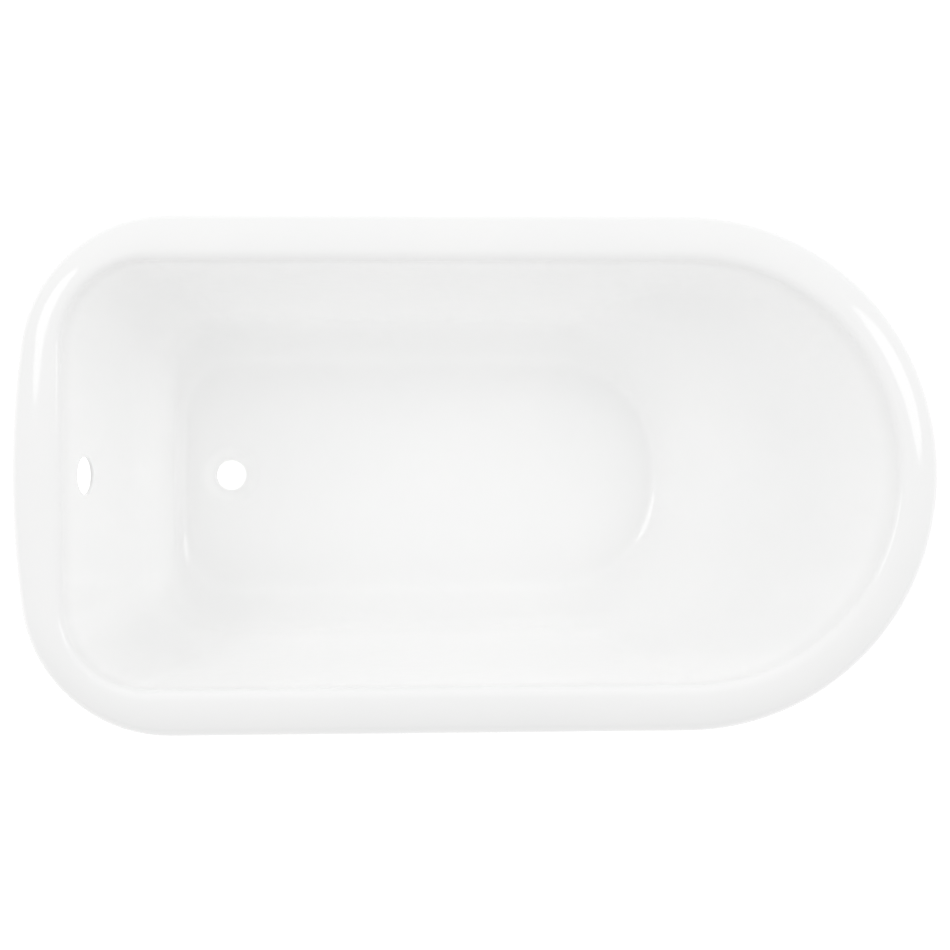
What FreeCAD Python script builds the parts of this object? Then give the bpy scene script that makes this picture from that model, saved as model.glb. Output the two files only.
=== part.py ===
"""Roll-rim bathtub of enamelled cast iron, standing free on four ball-and-claw feet.

Frame: origin on the ground under the middle of the rim, +X from the drain end to the
sloping head end, +Y towards the left feet, +Z up. Sizes are in millimetres and degrees.
"""
import FreeCAD, Part
import math
import os
import Sketcher
from FreeCAD import Placement, Rotation, Vector

os.makedirs("parts", exist_ok=True)
doc = FreeCAD.newDocument("bathtub")

# ---------------------------------------------------------------- driving dimensions
SIZES = {
    # rim, seen from above
    "rim_length": 1372,
    "drain_half_width": 387,
    "head_half_width": 382,
    "rim_corner_radius": 222,
    "inner_corner_radius": 125,
    "rim_bow_radius": 1470,
    "nose_radius_extra": 14,
    "head_corner_less": 9,
    # section of the rolled rim
    "side_rim_width": 71,
    "drain_rim_width": 79,
    "head_rim_width": 66,
    "roll_inner_radius": 15,
    "roll_crown_radius": 90,
    "roll_outer_radius": 28,
    "roll_end_angle": 100,
    "iron_wall": 6,
    # basin
    "basin_depth": 445,
    "floor_fall": 0.6,
    "side_low_slope": 76,
    "side_fillet": 110,
    "side_run": 163,
    "drain_slope": 76.5,
    "drain_fillet": 25,
    "back_low_slope": 42,
    "back_fillet": 40,
    "back_run": 332,
    "end_flatness_radius": 20000,
    "floor_bow_radius": 1500,
    "floor_corner_radius": 84,
    "floor_nose_radius": 222,
    "floor_head_corner_radius": 116,
    # waste and overflow holes
    "drain_inset": 271,
    "drain_bore": 50.8,
    "dish_diameter": 104,
    "dish_depth": 7,
    "overflow_drop": 90,
    "overflow_bore": 57,
    # lugs under the tub that the feet bolt to
    "lug_diameter": 46,
    "lug_drop": 11,
    "lug_height": 33,
    "lug_outset": 28,
    "tapped_depth": 14,
    "drain_foot_turn": 112,
    "head_foot_turn": 66,
    # foot casting
    "foot_height": 138,
    "foot_gap": 0.4,
    "leaf_rise": 92,
    "leaf_half_width": 65,
    "leaf_front": 97,
    "knee_front": 108,
    "ankle_height": 86,
    "ankle_front": 74,
    "ankle_thickness": 42,
    "ankle_half_width": 21,
    "ankle_sink": 8,
    "foot_shell": 9,
    "seat_plate": 12,
    "seat_half_width": 25,
    "seat_setback": 36,
    "seat_margin": 3,
    "foot_rib": 8,
    "ball_radius": 38,
    "ball_height": 28,
    "ball_reach": 52,
    "talon_radius": 10,
    "talon_tip_radius": 3,
    "talon_spread": 50,
    # fixings of each foot
    "stud_diameter": 10,
    "thread_gap": 0.3,
    "stud_hole": 12,
    "washer_diameter": 24,
    "washer_bore": 11,
    "washer_thickness": 2.5,
    "spring_washer_diameter": 18,
    "spring_washer_thickness": 2.5,
    "spring_washer_slit": 2,
    "nut_flats": 17,
    "nut_height": 8,
    "stud_below_nut": 4,
    "stud_chamfer": 1,
    # leveller in each ball
    "leveller_recess": 34,
    "leveller_recess_depth": 15,
    "screw_diameter": 10,
    "screw_bore_depth": 44,
    "screw_end_gap": 4,
    "collar_flats": 15,
    "collar_height": 3,
    "collar_gap": 0.5,
    "spigot_diameter": 7,
    "spigot_length": 3,
    "locknut_height": 5,
    "glide_diameter": 28,
    "glide_thickness": 5.5,
    "glide_edge": 1.5,
    "glide_lift": 1,
    # how far a cutting tool runs past the face that it cuts
    "cut_margin": 1,
}

sheet = doc.addObject("Spreadsheet::Sheet", "sizes")
for row, (alias, value) in enumerate(SIZES.items(), start=1):
    sheet.set(f"A{row}", alias)
    sheet.set(f"B{row}", str(value))
    sheet.setAlias(f"B{row}", alias)
doc.recompute()


class Sizes:
    """The sheet's cells, read as plain numbers: size.rim_length."""

    def __getattr__(self, alias):
        return float(sheet.get(alias))


size = Sizes()
UP = Vector(0, 0, 1)

seat_height = size.foot_height
rim_height = seat_height + size.lug_drop + size.iron_wall + size.basin_depth


# ---------------------------------------------------------------- basin sections
class WallSection:
    """Section of one wall of the basin, from the rim's inner arc down to the flat floor.

    inset(depth, cover) is how far the wall stands inside the rim's inner edge, as a
    negative number, at a depth under the rim. cover is how far the surface lies behind
    the enamelled face: 0 for the enamel, the wall's thickness for the back.
    """

    def __init__(self, low_slope, fillet, run=None):
        self.low = math.radians(low_slope)
        self.fillet = fillet
        self.rim_radius = size.roll_inner_radius
        self.fillet_depth = size.basin_depth - fillet
        self.curved = run is not None
        if self.curved:
            self._bend_to(run)
        else:
            self.top = self.low
            x_top, depth_top = self._top_end(0)
            drop = self._fillet_start(0) - depth_top
            self.fillet_inset = x_top - drop / math.tan(self.top) - fillet * math.sin(self.top)

    def _top_end(self, cover):
        radius = self.rim_radius
        return (radius - (radius - cover) * math.sin(self.top),
                radius - (radius - cover) * math.cos(self.top))

    def _fillet_start(self, cover):
        return self.fillet_depth + (self.fillet + cover) * math.cos(self.low)

    def _bend_to(self, run):
        """Bend the wall on one large arc, so that it meets the fillet at the low slope."""
        self.fillet_inset = -run
        low_inset = -run + self.fillet * math.sin(self.low)
        low_depth = self._fillet_start(0)
        self.top = self.low
        for _ in range(40):
            high_inset, high_depth = self._top_end(0)
            chord_slope = math.atan2(low_depth - high_depth, high_inset - low_inset)
            self.top = 2 * chord_slope - self.low
        chord = math.hypot(low_depth - high_depth, high_inset - low_inset)
        self.wall_radius = chord / 2 / math.sin((self.top - self.low) / 2)
        self.wall_inset = low_inset - self.wall_radius * math.sin(self.low)
        self.wall_depth = low_depth - self.wall_radius * math.cos(self.low)

    @staticmethod
    def _on_arc(centre, radius, rise):
        return centre + math.sqrt(max(radius * radius - rise * rise, 0.0))

    def inset(self, depth, cover):
        high_inset, high_depth = self._top_end(cover)
        if depth <= high_depth:
            radius = self.rim_radius - cover
            rise = min(self.rim_radius - depth, radius)
            return 2 * self.rim_radius - self._on_arc(self.rim_radius, radius, rise)
        if depth >= self._fillet_start(cover):
            return self._on_arc(self.fillet_inset, self.fillet + cover, depth - self.fillet_depth)
        if self.curved:
            return self._on_arc(self.wall_inset, self.wall_radius + cover, depth - self.wall_depth)
        return high_inset - (depth - high_depth) / math.tan(self.top)


side_wall = WallSection(size.side_low_slope, size.side_fillet, size.side_run)
drain_wall = WallSection(size.drain_slope, size.drain_fillet)
back_wall = WallSection(size.back_low_slope, size.back_fillet, size.back_run)


# ---------------------------------------------------------------- outlines seen from above
def mirrored(point):
    return Vector(point.x, -point.y, 0)


def arc(centre, radius, start, end):
    """Arc about a centre in the plan, between two directions in radians."""
    middle = (start + end) / 2
    points = [centre + Vector(radius * math.cos(a), radius * math.sin(a), 0)
              for a in (start, middle, end)]
    return Part.Arc(*points).toShape()


class Outline:
    """Level outline of the tub: a bowed end, two corners, two tapering sides and a nose.

    The offsets say how far it lies outside the rim's inner edge at the sides, the drain
    end and the head end. They are negative inside the basin.
    """

    def __init__(self, side_offset, drain_offset, back_offset):
        drain_half = size.drain_half_width - size.side_rim_width + side_offset
        head_half = size.head_half_width - size.side_rim_width + side_offset
        corner = size.inner_corner_radius
        nose = size.head_half_width + size.nose_radius_extra - size.side_rim_width
        head_corner = size.head_half_width - size.head_corner_less - size.side_rim_width
        end_bow = 1 / size.end_flatness_radius
        if side_offset >= 0:
            share = side_offset / size.side_rim_width
            corner += (size.rim_corner_radius - corner) * share
            nose += side_offset
            head_corner += side_offset
            drain_offset *= size.drain_rim_width / size.side_rim_width
            back_offset *= size.head_rim_width / size.side_rim_width
            end_bow += (1 / size.rim_bow_radius - end_bow) * share
        else:
            low = side_offset / side_wall.fillet_inset
            corner += (size.floor_corner_radius - corner) * low
            nose += (size.floor_nose_radius - nose) * low
            head_corner += (size.floor_head_corner_radius - head_corner) * low
            end_bow += (1 / size.floor_bow_radius - end_bow) * low
        bow = 1 / end_bow
        self.bow = bow
        self.corner = corner
        self.nose = nose
        self.head_corner = head_corner
        self.end_x = -size.rim_length / 2 + size.drain_rim_width - drain_offset
        self.nose_x = size.rim_length / 2 - size.head_rim_width + back_offset - nose
        self.bow_x = self.end_x + bow
        corner_y = drain_half - corner
        corner_x = self.bow_x - math.sqrt((bow - corner) ** 2 - corner_y ** 2)
        head_y = head_half - head_corner
        head_x = self.nose_x + math.sqrt((nose - head_corner) ** 2 - head_y ** 2)
        self.corner_centre = Vector(corner_x, corner_y, 0)
        self.head_centre = Vector(head_x, head_y, 0)

    def wire(self, depth):
        """The outline at a depth under the rim, tipped towards the drain as it nears the floor."""
        side = self.head_centre - self.corner_centre
        turn = math.atan2(side.y, side.x) + math.acos((self.corner - self.head_corner) / side.Length)
        normal = Vector(math.cos(turn), math.sin(turn), 0)
        bow_turn = math.atan2(self.corner_centre.y, self.corner_centre.x - self.bow_x)
        nose_turn = math.atan2(self.head_centre.y, self.head_centre.x - self.nose_x)
        bow_centre = Vector(self.bow_x, 0, 0)
        nose_centre = Vector(self.nose_x, 0, 0)
        start = self.corner_centre + normal * self.corner
        end = self.head_centre + normal * self.head_corner
        wire = Part.Wire([
            arc(bow_centre, self.bow, 2 * math.pi - bow_turn, bow_turn),
            arc(self.corner_centre, self.corner, bow_turn, turn),
            Part.LineSegment(start, end).toShape(),
            arc(self.head_centre, self.head_corner, turn, nose_turn),
            arc(nose_centre, self.nose, nose_turn, -nose_turn),
            arc(mirrored(self.head_centre), self.head_corner, -nose_turn, -turn),
            Part.LineSegment(mirrored(end), mirrored(start)).toShape(),
            arc(mirrored(self.corner_centre), self.corner, -turn, -bow_turn),
        ])
        level = Vector(0, 0, rim_height - depth)
        wire.translate(level)
        tip = size.floor_fall * (max(depth, 0) / size.basin_depth) ** 2
        if tip:
            wire.rotate(level, Vector(0, 1, 0), -tip)
        return wire


def wall_outline(depth, cover):
    return Outline(side_wall.inset(depth, cover), drain_wall.inset(depth, cover),
                   back_wall.inset(depth, cover))


# ---------------------------------------------------------------- tub shell
ROLL_STEPS = 5
CROWN_STEPS = 3
INNER_ROLL_ANGLES = (28, 52, 70)
WALL_STEPS = 8
FILLET_ANGLES = (70, 55, 42, 30, 20, 10)


def roll_points(cover):
    """Points (offset, depth) round the rolled rim, from its lip over to the crown's top."""
    crown = size.roll_crown_radius
    roll = size.roll_outer_radius
    inner = size.roll_inner_radius
    turn = math.asin((size.side_rim_width - inner - roll) / (crown - roll))
    roll_offset = inner + (crown - roll) * math.sin(turn)
    roll_depth = crown - (crown - roll) * math.cos(turn)
    end = math.radians(size.roll_end_angle)
    points = []
    for step in range(ROLL_STEPS + 1):
        angle = end + (turn - end) * step / ROLL_STEPS
        points.append((roll_offset + (roll - cover) * math.sin(angle),
                       roll_depth - (roll - cover) * math.cos(angle)))
    for step in range(1, CROWN_STEPS + 1):
        angle = turn * (1 - step / CROWN_STEPS)
        points.append((inner + (crown - cover) * math.sin(angle),
                       crown - (crown - cover) * math.cos(angle)))
    return points


def wall_depths(cover):
    """Depths of the basin's loft sections, below the crown and down to the floor."""
    inner = size.roll_inner_radius
    floor = size.basin_depth + cover
    depths = [inner - (inner - cover) * math.cos(math.radians(a)) for a in INNER_ROLL_ANGLES]
    start = inner + 2
    end = floor - size.side_fillet
    depths += [start + (end - start) * step / WALL_STEPS for step in range(WALL_STEPS + 1)]
    depths += [floor - size.side_fillet * (1 - math.cos(math.radians(a))) for a in FILLET_ANGLES]
    return depths + [floor]


def skin_wires(cover):
    wires = [Outline(offset, offset, offset).wire(depth) for offset, depth in roll_points(cover)]
    return wires + [wall_outline(depth, cover).wire(depth) for depth in wall_depths(cover)]


def tub_shell():
    """The cast shell: enamelled face, back, the lip's edge and the floor, sewn to a solid."""
    front = skin_wires(0)
    back = skin_wires(size.iron_wall)
    faces = Part.makeLoft(front, False, False).Faces
    faces += Part.makeLoft(back, False, False).Faces
    faces += Part.makeLoft([front[0], back[0]], False, True).Faces
    faces += [Part.Face(front[-1]), Part.Face(back[-1])]
    shell = Part.makeShell(faces)
    shell.sewShape()
    solid = Part.makeSolid(shell)
    if solid.Volume < 0:
        solid.reverse()
    return solid


def basin_form(cover):
    """Solid of the basin's lower part, out to a distance behind the enamelled face."""
    depths = [depth for depth in wall_depths(cover) if depth > size.basin_depth / 3]
    return Part.makeLoft([wall_outline(depth, cover).wire(depth) for depth in depths], True, False)


def floor_height(x):
    """Height of the enamelled floor above the ground at a place along the tub."""
    return rim_height - size.basin_depth + x * math.tan(math.radians(size.floor_fall))


def cylinder(diameter, bottom, top, x=0.0, y=0.0):
    return Part.makeCylinder(diameter / 2, top - bottom, Vector(x, y, bottom))


def drain_boss(x):
    """Thickening under the drain dish."""
    underside = floor_height(x) - size.iron_wall
    outer = size.dish_diameter / 2 + size.iron_wall
    inner = outer - 2 * size.dish_depth
    plate = cylinder(2 * outer, underside, underside + size.iron_wall / 2, x)
    taper = Part.makeCone(inner, outer, size.dish_depth, Vector(x, 0, underside - size.dish_depth))
    return plate.fuse(taper)


def drain_dish(x):
    """Shallow dish round the drain hole, and the hole through it."""
    hole = size.drain_bore / 2
    edge = size.dish_diameter / 2
    top = floor_height(x)
    low = top - size.dish_depth
    lip = top + size.cut_margin
    middle = Vector((hole + edge) / 2, 0, low + size.dish_depth / 3)
    through = low - 2 * size.iron_wall
    above = top + size.dish_depth
    outline = Part.Wire([
        Part.makeLine(Vector(0, 0, above), Vector(0, 0, through)),
        Part.makeLine(Vector(0, 0, through), Vector(hole, 0, through)),
        Part.makeLine(Vector(hole, 0, through), Vector(hole, 0, low)),
        Part.Arc(Vector(hole, 0, low), middle, Vector(edge, 0, lip)).toShape(),
        Part.makeLine(Vector(edge, 0, lip), Vector(edge, 0, above)),
        Part.makeLine(Vector(edge, 0, above), Vector(0, 0, above)),
    ])
    dish = Part.Face(outline).revolve(Vector(0, 0, 0), UP, 360)
    dish.translate(Vector(x, 0, 0))
    return dish


def overflow_hole():
    """Round hole square to the drain end wall."""
    depth = size.overflow_drop
    x = wall_outline(depth, 0).end_x
    slope = math.radians(size.drain_slope)
    outward = Vector(-math.sin(slope), 0, -math.cos(slope))
    reach = 4 * size.iron_wall
    centre = Vector(x, 0, rim_height - depth)
    return Part.makeCylinder(size.overflow_bore / 2, 2 * reach, centre - outward * reach, outward)


# ---------------------------------------------------------------- places of the feet
def foot_places():
    """Name, lug axis and outward direction in degrees of each foot."""
    floor = wall_outline(size.basin_depth, 0)
    drain = (floor.corner_centre, floor.corner, size.drain_foot_turn)
    head = (floor.head_centre, floor.head_corner, size.head_foot_turn)
    places = []
    for end, (centre, radius, turn) in (("drain", drain), ("head", head)):
        for hand, sign in (("left", 1), ("right", -1)):
            angle = math.radians(turn)
            reach = radius + size.lug_outset
            lug = Vector(centre.x + reach * math.cos(angle),
                         sign * (centre.y + reach * math.sin(angle)), 0)
            places.append((f"{end}_{hand}", lug, sign * turn))
    return places


FEET = foot_places()


def tub_body():
    shell = tub_shell()
    middle_form = basin_form(size.iron_wall / 2)
    lug_top = seat_height + size.lug_height
    for _, lug, _ in FEET:
        boss = cylinder(size.lug_diameter, seat_height, lug_top, lug.x, lug.y)
        shell = shell.fuse(boss.cut(middle_form))
    drain_x = -size.rim_length / 2 + size.drain_inset
    shell = shell.fuse(drain_boss(drain_x))
    shell = shell.cut(drain_dish(drain_x)).cut(overflow_hole())
    bore = size.stud_diameter + 2 * size.thread_gap
    for _, lug, _ in FEET:
        tapped = cylinder(bore, seat_height - size.cut_margin, seat_height + size.tapped_depth,
                          lug.x, lug.y)
        shell = shell.cut(tapped)
    return shell.removeSplitter()


# ---------------------------------------------------------------- claw foot
LEG_STEPS = 6
KNEE_SHARE = 0.6
LEAF_SHARE = 0.85
CALF_DEPTH = 0.8
HOLLOW_SHARE = 0.16


def smooth(share):
    share = min(max(share, 0), 1)
    return share * share * (3 - 2 * share)


def leg_section(share, inner):
    """Level section of the leg at a share of the way from the ankle to the leaf's top.

    Two arcs, front and back, that meet at the leaf's two edges. The leg stands furthest
    out at the knee, and its leaf is widest above it. inner draws the section of the
    hollow behind the casting's wall instead.
    """
    top = seat_height + size.leaf_rise
    height = size.ankle_height + (top - size.ankle_height) * share
    front = size.ankle_front + (size.knee_front - size.ankle_front) * smooth(share / KNEE_SHARE)
    above_knee = smooth((share - KNEE_SHARE) / (1 - KNEE_SHARE))
    front -= (size.knee_front - size.leaf_front) * above_knee
    grow = smooth(share / LEAF_SHARE)
    half = size.ankle_half_width + (size.leaf_half_width - size.ankle_half_width) * grow
    calf = CALF_DEPTH * math.sin(math.pi * min(share, 1))
    back = front - size.ankle_thickness * (1 + calf)
    if inner:
        front -= size.foot_shell
        half -= size.foot_shell
        back -= 2 * size.leaf_half_width
    edge = (size.ankle_front + front) / 2 - size.ankle_thickness / 2
    left = Vector(edge, half, height)
    right = Vector(edge, -half, height)
    return Part.Wire([
        Part.Arc(right, Vector(front, 0, height), left).toShape(),
        Part.Arc(left, Vector(back, 0, height), right).toShape(),
    ])


def leg_shell():
    """Hollow leg with its knee and the leaf that lies against the tub."""
    shares = [step / LEG_STEPS for step in range(LEG_STEPS + 1)]
    ball_top = size.ball_height + size.ball_radius
    base = leg_section(0, False)
    base.translate(Vector(0, 0, ball_top - size.ankle_sink - size.ankle_height))
    outer = Part.makeLoft([base] + [leg_section(share, False) for share in shares], True, False)
    hollow_wires = [leg_section(share + HOLLOW_SHARE, True) for share in shares]
    hollow = Part.makeLoft(hollow_wires, True, False)
    return outer.common(leaf_outline()).cut(hollow)


LEAF_MARGIN = 2
LEAF_SHOULDER = 0.7
LEAF_BULGE = (0.66, 0.62)


def leaf_outline():
    """Front outline of the leaf: upright edges that close to a point at the crest."""
    half = size.leaf_half_width + LEAF_MARGIN
    crest = seat_height + size.leaf_rise
    shoulder = crest - LEAF_SHOULDER * size.leaf_half_width
    bulge_out, bulge_up = LEAF_BULGE
    reach = 2 * size.knee_front
    points = [Vector(-reach, half, 0), Vector(-reach, half, shoulder), Vector(-reach, 0, crest)]
    left_bulge = Vector(-reach, bulge_out * half, shoulder + bulge_up * (crest - shoulder))
    right = [Vector(point.x, -point.y, point.z) for point in points]
    right_bulge = Vector(left_bulge.x, -left_bulge.y, left_bulge.z)
    outline = Part.Wire([
        Part.makeLine(points[0], points[1]),
        Part.Arc(points[1], left_bulge, points[2]).toShape(),
        Part.Arc(points[2], right_bulge, right[1]).toShape(),
        Part.makeLine(right[1], right[0]),
        Part.makeLine(right[0], points[0]),
    ])
    return Part.Face(outline).extrude(Vector(2 * reach, 0, 0))


TALON_TILT = 14
TALON_SWEEP = 92
TALON_KNUCKLES = ((0, 1), (0.3, 1.05), (0.5, 0.8), (0.72, 0.95), (0.86, 0.7))


def talon(turn):
    """Talon that grips the ball: round sections along an arc over the ball's surface."""
    path_radius = size.ball_radius + size.talon_radius / 2
    centre = Vector(size.ball_reach, 0, size.ball_height)
    across = Vector(-math.sin(math.radians(turn)), math.cos(math.radians(turn)), 0)
    ahead = Vector(math.cos(math.radians(turn)), math.sin(math.radians(turn)), 0)
    radii = [(share, size.talon_radius * swell) for share, swell in TALON_KNUCKLES]
    sections = []
    for share, radius in radii + [(1, size.talon_tip_radius)]:
        tilt = math.radians(TALON_TILT + TALON_SWEEP * share)
        outward = ahead * math.sin(tilt) + UP * math.cos(tilt)
        circle = Part.makeCircle(radius, centre + outward * path_radius, outward.cross(across))
        sections.append(Part.Wire([circle]))
    return Part.makeLoft(sections, True, False)


def foot_casting():
    """One foot in its own frame: lug axis on Z, outward along X, floor at zero."""
    foot = leg_shell()
    plate_front = size.knee_front - size.seat_setback
    plate_back = -size.lug_diameter / 2 - size.seat_margin
    seat = Part.makeBox(plate_front - plate_back, 2 * size.seat_half_width, size.seat_plate,
                        Vector(plate_back, -size.seat_half_width, seat_height - size.seat_plate))
    rib_back = size.lug_diameter / 2
    rib = Part.makeBox(plate_front - rib_back, size.foot_rib, seat_height - size.ankle_height,
                       Vector(rib_back, -size.foot_rib / 2, size.ankle_height))
    ball = Part.makeSphere(size.ball_radius, Vector(size.ball_reach, 0, size.ball_height))
    pieces = [seat, rib, ball]
    pieces += [talon(turn) for turn in (-size.talon_spread, 0, size.talon_spread, 180)]
    for piece in pieces:
        foot = foot.fuse(piece)
    reach = size.ball_reach + 2 * size.ball_radius
    below = Part.makeBox(2 * reach, 2 * reach, reach, Vector(-reach, -reach, -reach))
    recess = cylinder(size.leveller_recess, -size.cut_margin, size.leveller_recess_depth,
                      size.ball_reach)
    bore_top = size.leveller_recess_depth + size.screw_bore_depth
    bore = cylinder(size.screw_diameter + 2 * size.thread_gap, 0, bore_top, size.ball_reach)
    stud_hole = cylinder(size.stud_hole, seat_height - size.seat_plate - size.cut_margin,
                         seat_height + size.cut_margin)
    for cutter in (below, recess, bore, stud_hole):
        foot = foot.cut(cutter)
    return foot


def placed(lug, turn, height=0.0, reach=0.0):
    """Placement of a foot's piece: turned to the foot's direction, reach along it."""
    angle = math.radians(turn)
    spot = Vector(lug.x + reach * math.cos(angle), lug.y + reach * math.sin(angle), height)
    return Placement(spot, Rotation(UP, turn))


def add_feature(label, shape, placement=None):
    feature = doc.addObject("Part::Feature", label)
    feature.Shape = shape
    if placement:
        feature.Placement = placement
    return feature


parts = [add_feature("tub_body", tub_body())]

gap_form = basin_form(size.iron_wall + size.foot_gap)
casting = foot_casting()
for name, lug, turn in FEET:
    place = placed(lug, turn)
    tub_side = gap_form.copy()
    tub_side.Placement = place.inverse()
    parts.append(add_feature(f"foot_{name}", casting.cut(tub_side), place))


# ---------------------------------------------------------------- turned and hexagonal pieces
def origin_plane(body, role):
    return next(plane for plane in body.Origin.OriginFeatures if plane.Role == role)


def new_body(label, placement):
    body = doc.addObject("PartDesign::Body", label)
    body.Placement = placement
    parts.append(body)
    return body


START_PLACE = 20
START_RADIUS = 10


def lathe(body, corners):
    """Revolve a closed profile about the body's Z axis.

    Each corner is a pair of formulas on the sheet, its radius and its height. The corners
    start on a ring, and the bound distances then carry them to their places.
    """
    sketch = body.newObject("Sketcher::SketchObject", f"{body.Name}_profile")
    sketch.AttachmentSupport = [(origin_plane(body, "XZ_Plane"), "")]
    sketch.MapMode = "FlatFace"
    count = len(corners)
    turns = [step * math.tau / count for step in range(count)]
    ring = [Vector(START_PLACE + START_RADIUS * math.cos(turn),
                   START_PLACE + START_RADIUS * math.sin(turn), 0) for turn in turns]
    for index in range(count):
        sketch.addGeometry(Part.LineSegment(ring[index], ring[(index + 1) % count]), False)
    for index in range(count):
        sketch.addConstraint(Sketcher.Constraint("Coincident", index, 2, (index + 1) % count, 1))
    for index, (radius, height) in enumerate(corners):
        for kind, axis, formula in (("DistanceX", -2, radius), ("DistanceY", -1, height)):
            if formula == "0":
                sketch.addConstraint(Sketcher.Constraint("PointOnObject", index, 1, axis))
                continue
            start = ring[index].x if kind == "DistanceX" else ring[index].y
            number = sketch.addConstraint(Sketcher.Constraint(kind, -1, 1, index, 1, start))
            sketch.setExpression(f"Constraints[{number}]", formula)
    turned = body.newObject("PartDesign::Revolution", f"{body.Name}_turned")
    turned.Profile = sketch
    turned.ReferenceAxis = (sketch, ["V_Axis"])
    turned.Angle = 360
    return turned


def primitive(body, kind, formulas, base="0"):
    """Add a primitive on the body's XY plane, raised by a formula, with its sizes bound."""
    feature = body.newObject(f"PartDesign::{kind}", f"{body.Name}_{kind.lower()}")
    feature.AttachmentSupport = [(origin_plane(body, "XY_Plane"), "")]
    feature.MapMode = "FlatFace"
    feature.setExpression("AttachmentOffset.Base.z", base)
    for name, formula in formulas.items():
        feature.setExpression(name, formula)
    return feature


def hexagon(body, flats, thickness, base="0"):
    prism = primitive(body, "AdditivePrism", {"Circumradius": f"sizes.{flats} / sqrt(3)",
                                              "Height": f"sizes.{thickness}"}, base)
    prism.Polygon = 6
    return prism


def stud(label, placement):
    """Plain stud with both ends chamfered, screwed into the tub's lug."""
    body = new_body(label, placement)
    radius = "sizes.stud_diameter / 2"
    length = ("(sizes.stud_below_nut + sizes.nut_height + sizes.spring_washer_thickness"
              " + sizes.washer_thickness + sizes.seat_plate + sizes.tapped_depth)")
    lathe(body, [("0", "0"), (f"{radius} - sizes.stud_chamfer", "0"), (radius, "sizes.stud_chamfer"),
                 (radius, f"{length} - sizes.stud_chamfer"),
                 (f"{radius} - sizes.stud_chamfer", length), ("0", length)])


def ring(label, placement, diameter, thickness):
    body = new_body(label, placement)
    bore = "sizes.washer_bore / 2"
    lathe(body, [(bore, "0"), (f"{diameter} / 2", "0"), (f"{diameter} / 2", thickness), (bore, thickness)])
    return body


def spring_washer(label, placement):
    body = ring(label, placement, "sizes.spring_washer_diameter", "sizes.spring_washer_thickness")
    slit = primitive(body, "SubtractiveBox", {"Length": "sizes.spring_washer_diameter",
                                              "Width": "sizes.spring_washer_slit",
                                              "Height": "sizes.spring_washer_thickness"})
    slit.setExpression("AttachmentOffset.Base.y", "-sizes.spring_washer_slit / 2")


def nut(label, placement, height, bore):
    body = new_body(label, placement)
    hexagon(body, "nut_flats", height)
    primitive(body, "SubtractiveCylinder", {"Radius": bore, "Height": f"sizes.{height}"})


def leveller_screw(label, placement):
    """Screw with a spigot for the glide, a hexagonal collar and a long shank."""
    body = new_body(label, placement)
    spigot = "sizes.spigot_diameter / 2"
    shank = "sizes.screw_diameter / 2"
    shoulder = "(sizes.spigot_length + sizes.collar_height)"
    end = (f"{shoulder} + sizes.locknut_height + sizes.collar_gap"
           " + sizes.screw_bore_depth - sizes.screw_end_gap")
    lathe(body, [("0", "0"), (spigot, "0"), (spigot, "sizes.spigot_length"),
                 (shank, "sizes.spigot_length"), (shank, end), ("0", end)])
    hexagon(body, "collar_flats", "collar_height", "sizes.spigot_length")


def leveller_glide(label, placement):
    """Round plastic pad with a bevelled foot and a socket for the screw's spigot."""
    body = new_body(label, placement)
    rim = "sizes.glide_diameter / 2"
    socket = "sizes.spigot_diameter / 2 + sizes.thread_gap"
    seat = "sizes.glide_thickness"
    floor = f"{seat} - sizes.spigot_length - sizes.thread_gap"
    lathe(body, [("0", "0"), (f"{rim} - sizes.glide_edge", "0"), (rim, "sizes.glide_edge"), (rim, seat),
                 (socket, seat), (socket, floor), ("0", floor)])


for name, lug, turn in FEET:
    washer_seat = seat_height - size.seat_plate - size.washer_thickness
    spring_seat = washer_seat - size.spring_washer_thickness
    nut_seat = spring_seat - size.nut_height
    collar_seat = size.glide_lift + size.glide_thickness
    ball = size.ball_reach
    stud(f"foot_stud_{name}", placed(lug, turn, nut_seat - size.stud_below_nut))
    ring(f"foot_washer_{name}", placed(lug, turn, washer_seat),
         "sizes.washer_diameter", "sizes.washer_thickness")
    spring_washer(f"foot_spring_washer_{name}", placed(lug, turn, spring_seat))
    nut(f"foot_nut_{name}", placed(lug, turn, nut_seat), "nut_height",
        "sizes.stud_diameter / 2 + sizes.thread_gap")
    leveller_screw(f"leveller_screw_{name}", placed(lug, turn, collar_seat - size.spigot_length, ball))
    leveller_glide(f"leveller_glide_{name}", placed(lug, turn, size.glide_lift, ball))
    locknut_seat = size.leveller_recess_depth - size.locknut_height
    nut(f"leveller_locknut_{name}", placed(lug, turn, locknut_seat, ball), "locknut_height",
        "sizes.screw_diameter / 2 + sizes.thread_gap")

doc.recompute()

# ---------------------------------------------------------------- check and write
for item in doc.Objects:
    if "Invalid" in item.State or "Error" in item.State:
        raise RuntimeError(f"{item.Name} failed: {item.State}")

for part in parts:
    if part.Shape.isNull() or not part.Shape.isValid():
        raise RuntimeError(f"{part.Label} has no valid shape")
    part.Shape.exportStep(f"parts/{part.Label}.step")
    print(f"{part.Label}: {len(part.Shape.Solids)} solid, {part.Shape.Volume:.0f} mm3")
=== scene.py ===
"""Roll-rim bathtub of enamelled cast iron on four ball-and-claw feet, seen from above."""
import math

import bmesh
import bpy
import numpy as np
from mathutils import Matrix, Vector
from mathutils.bvhtree import BVHTree


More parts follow.
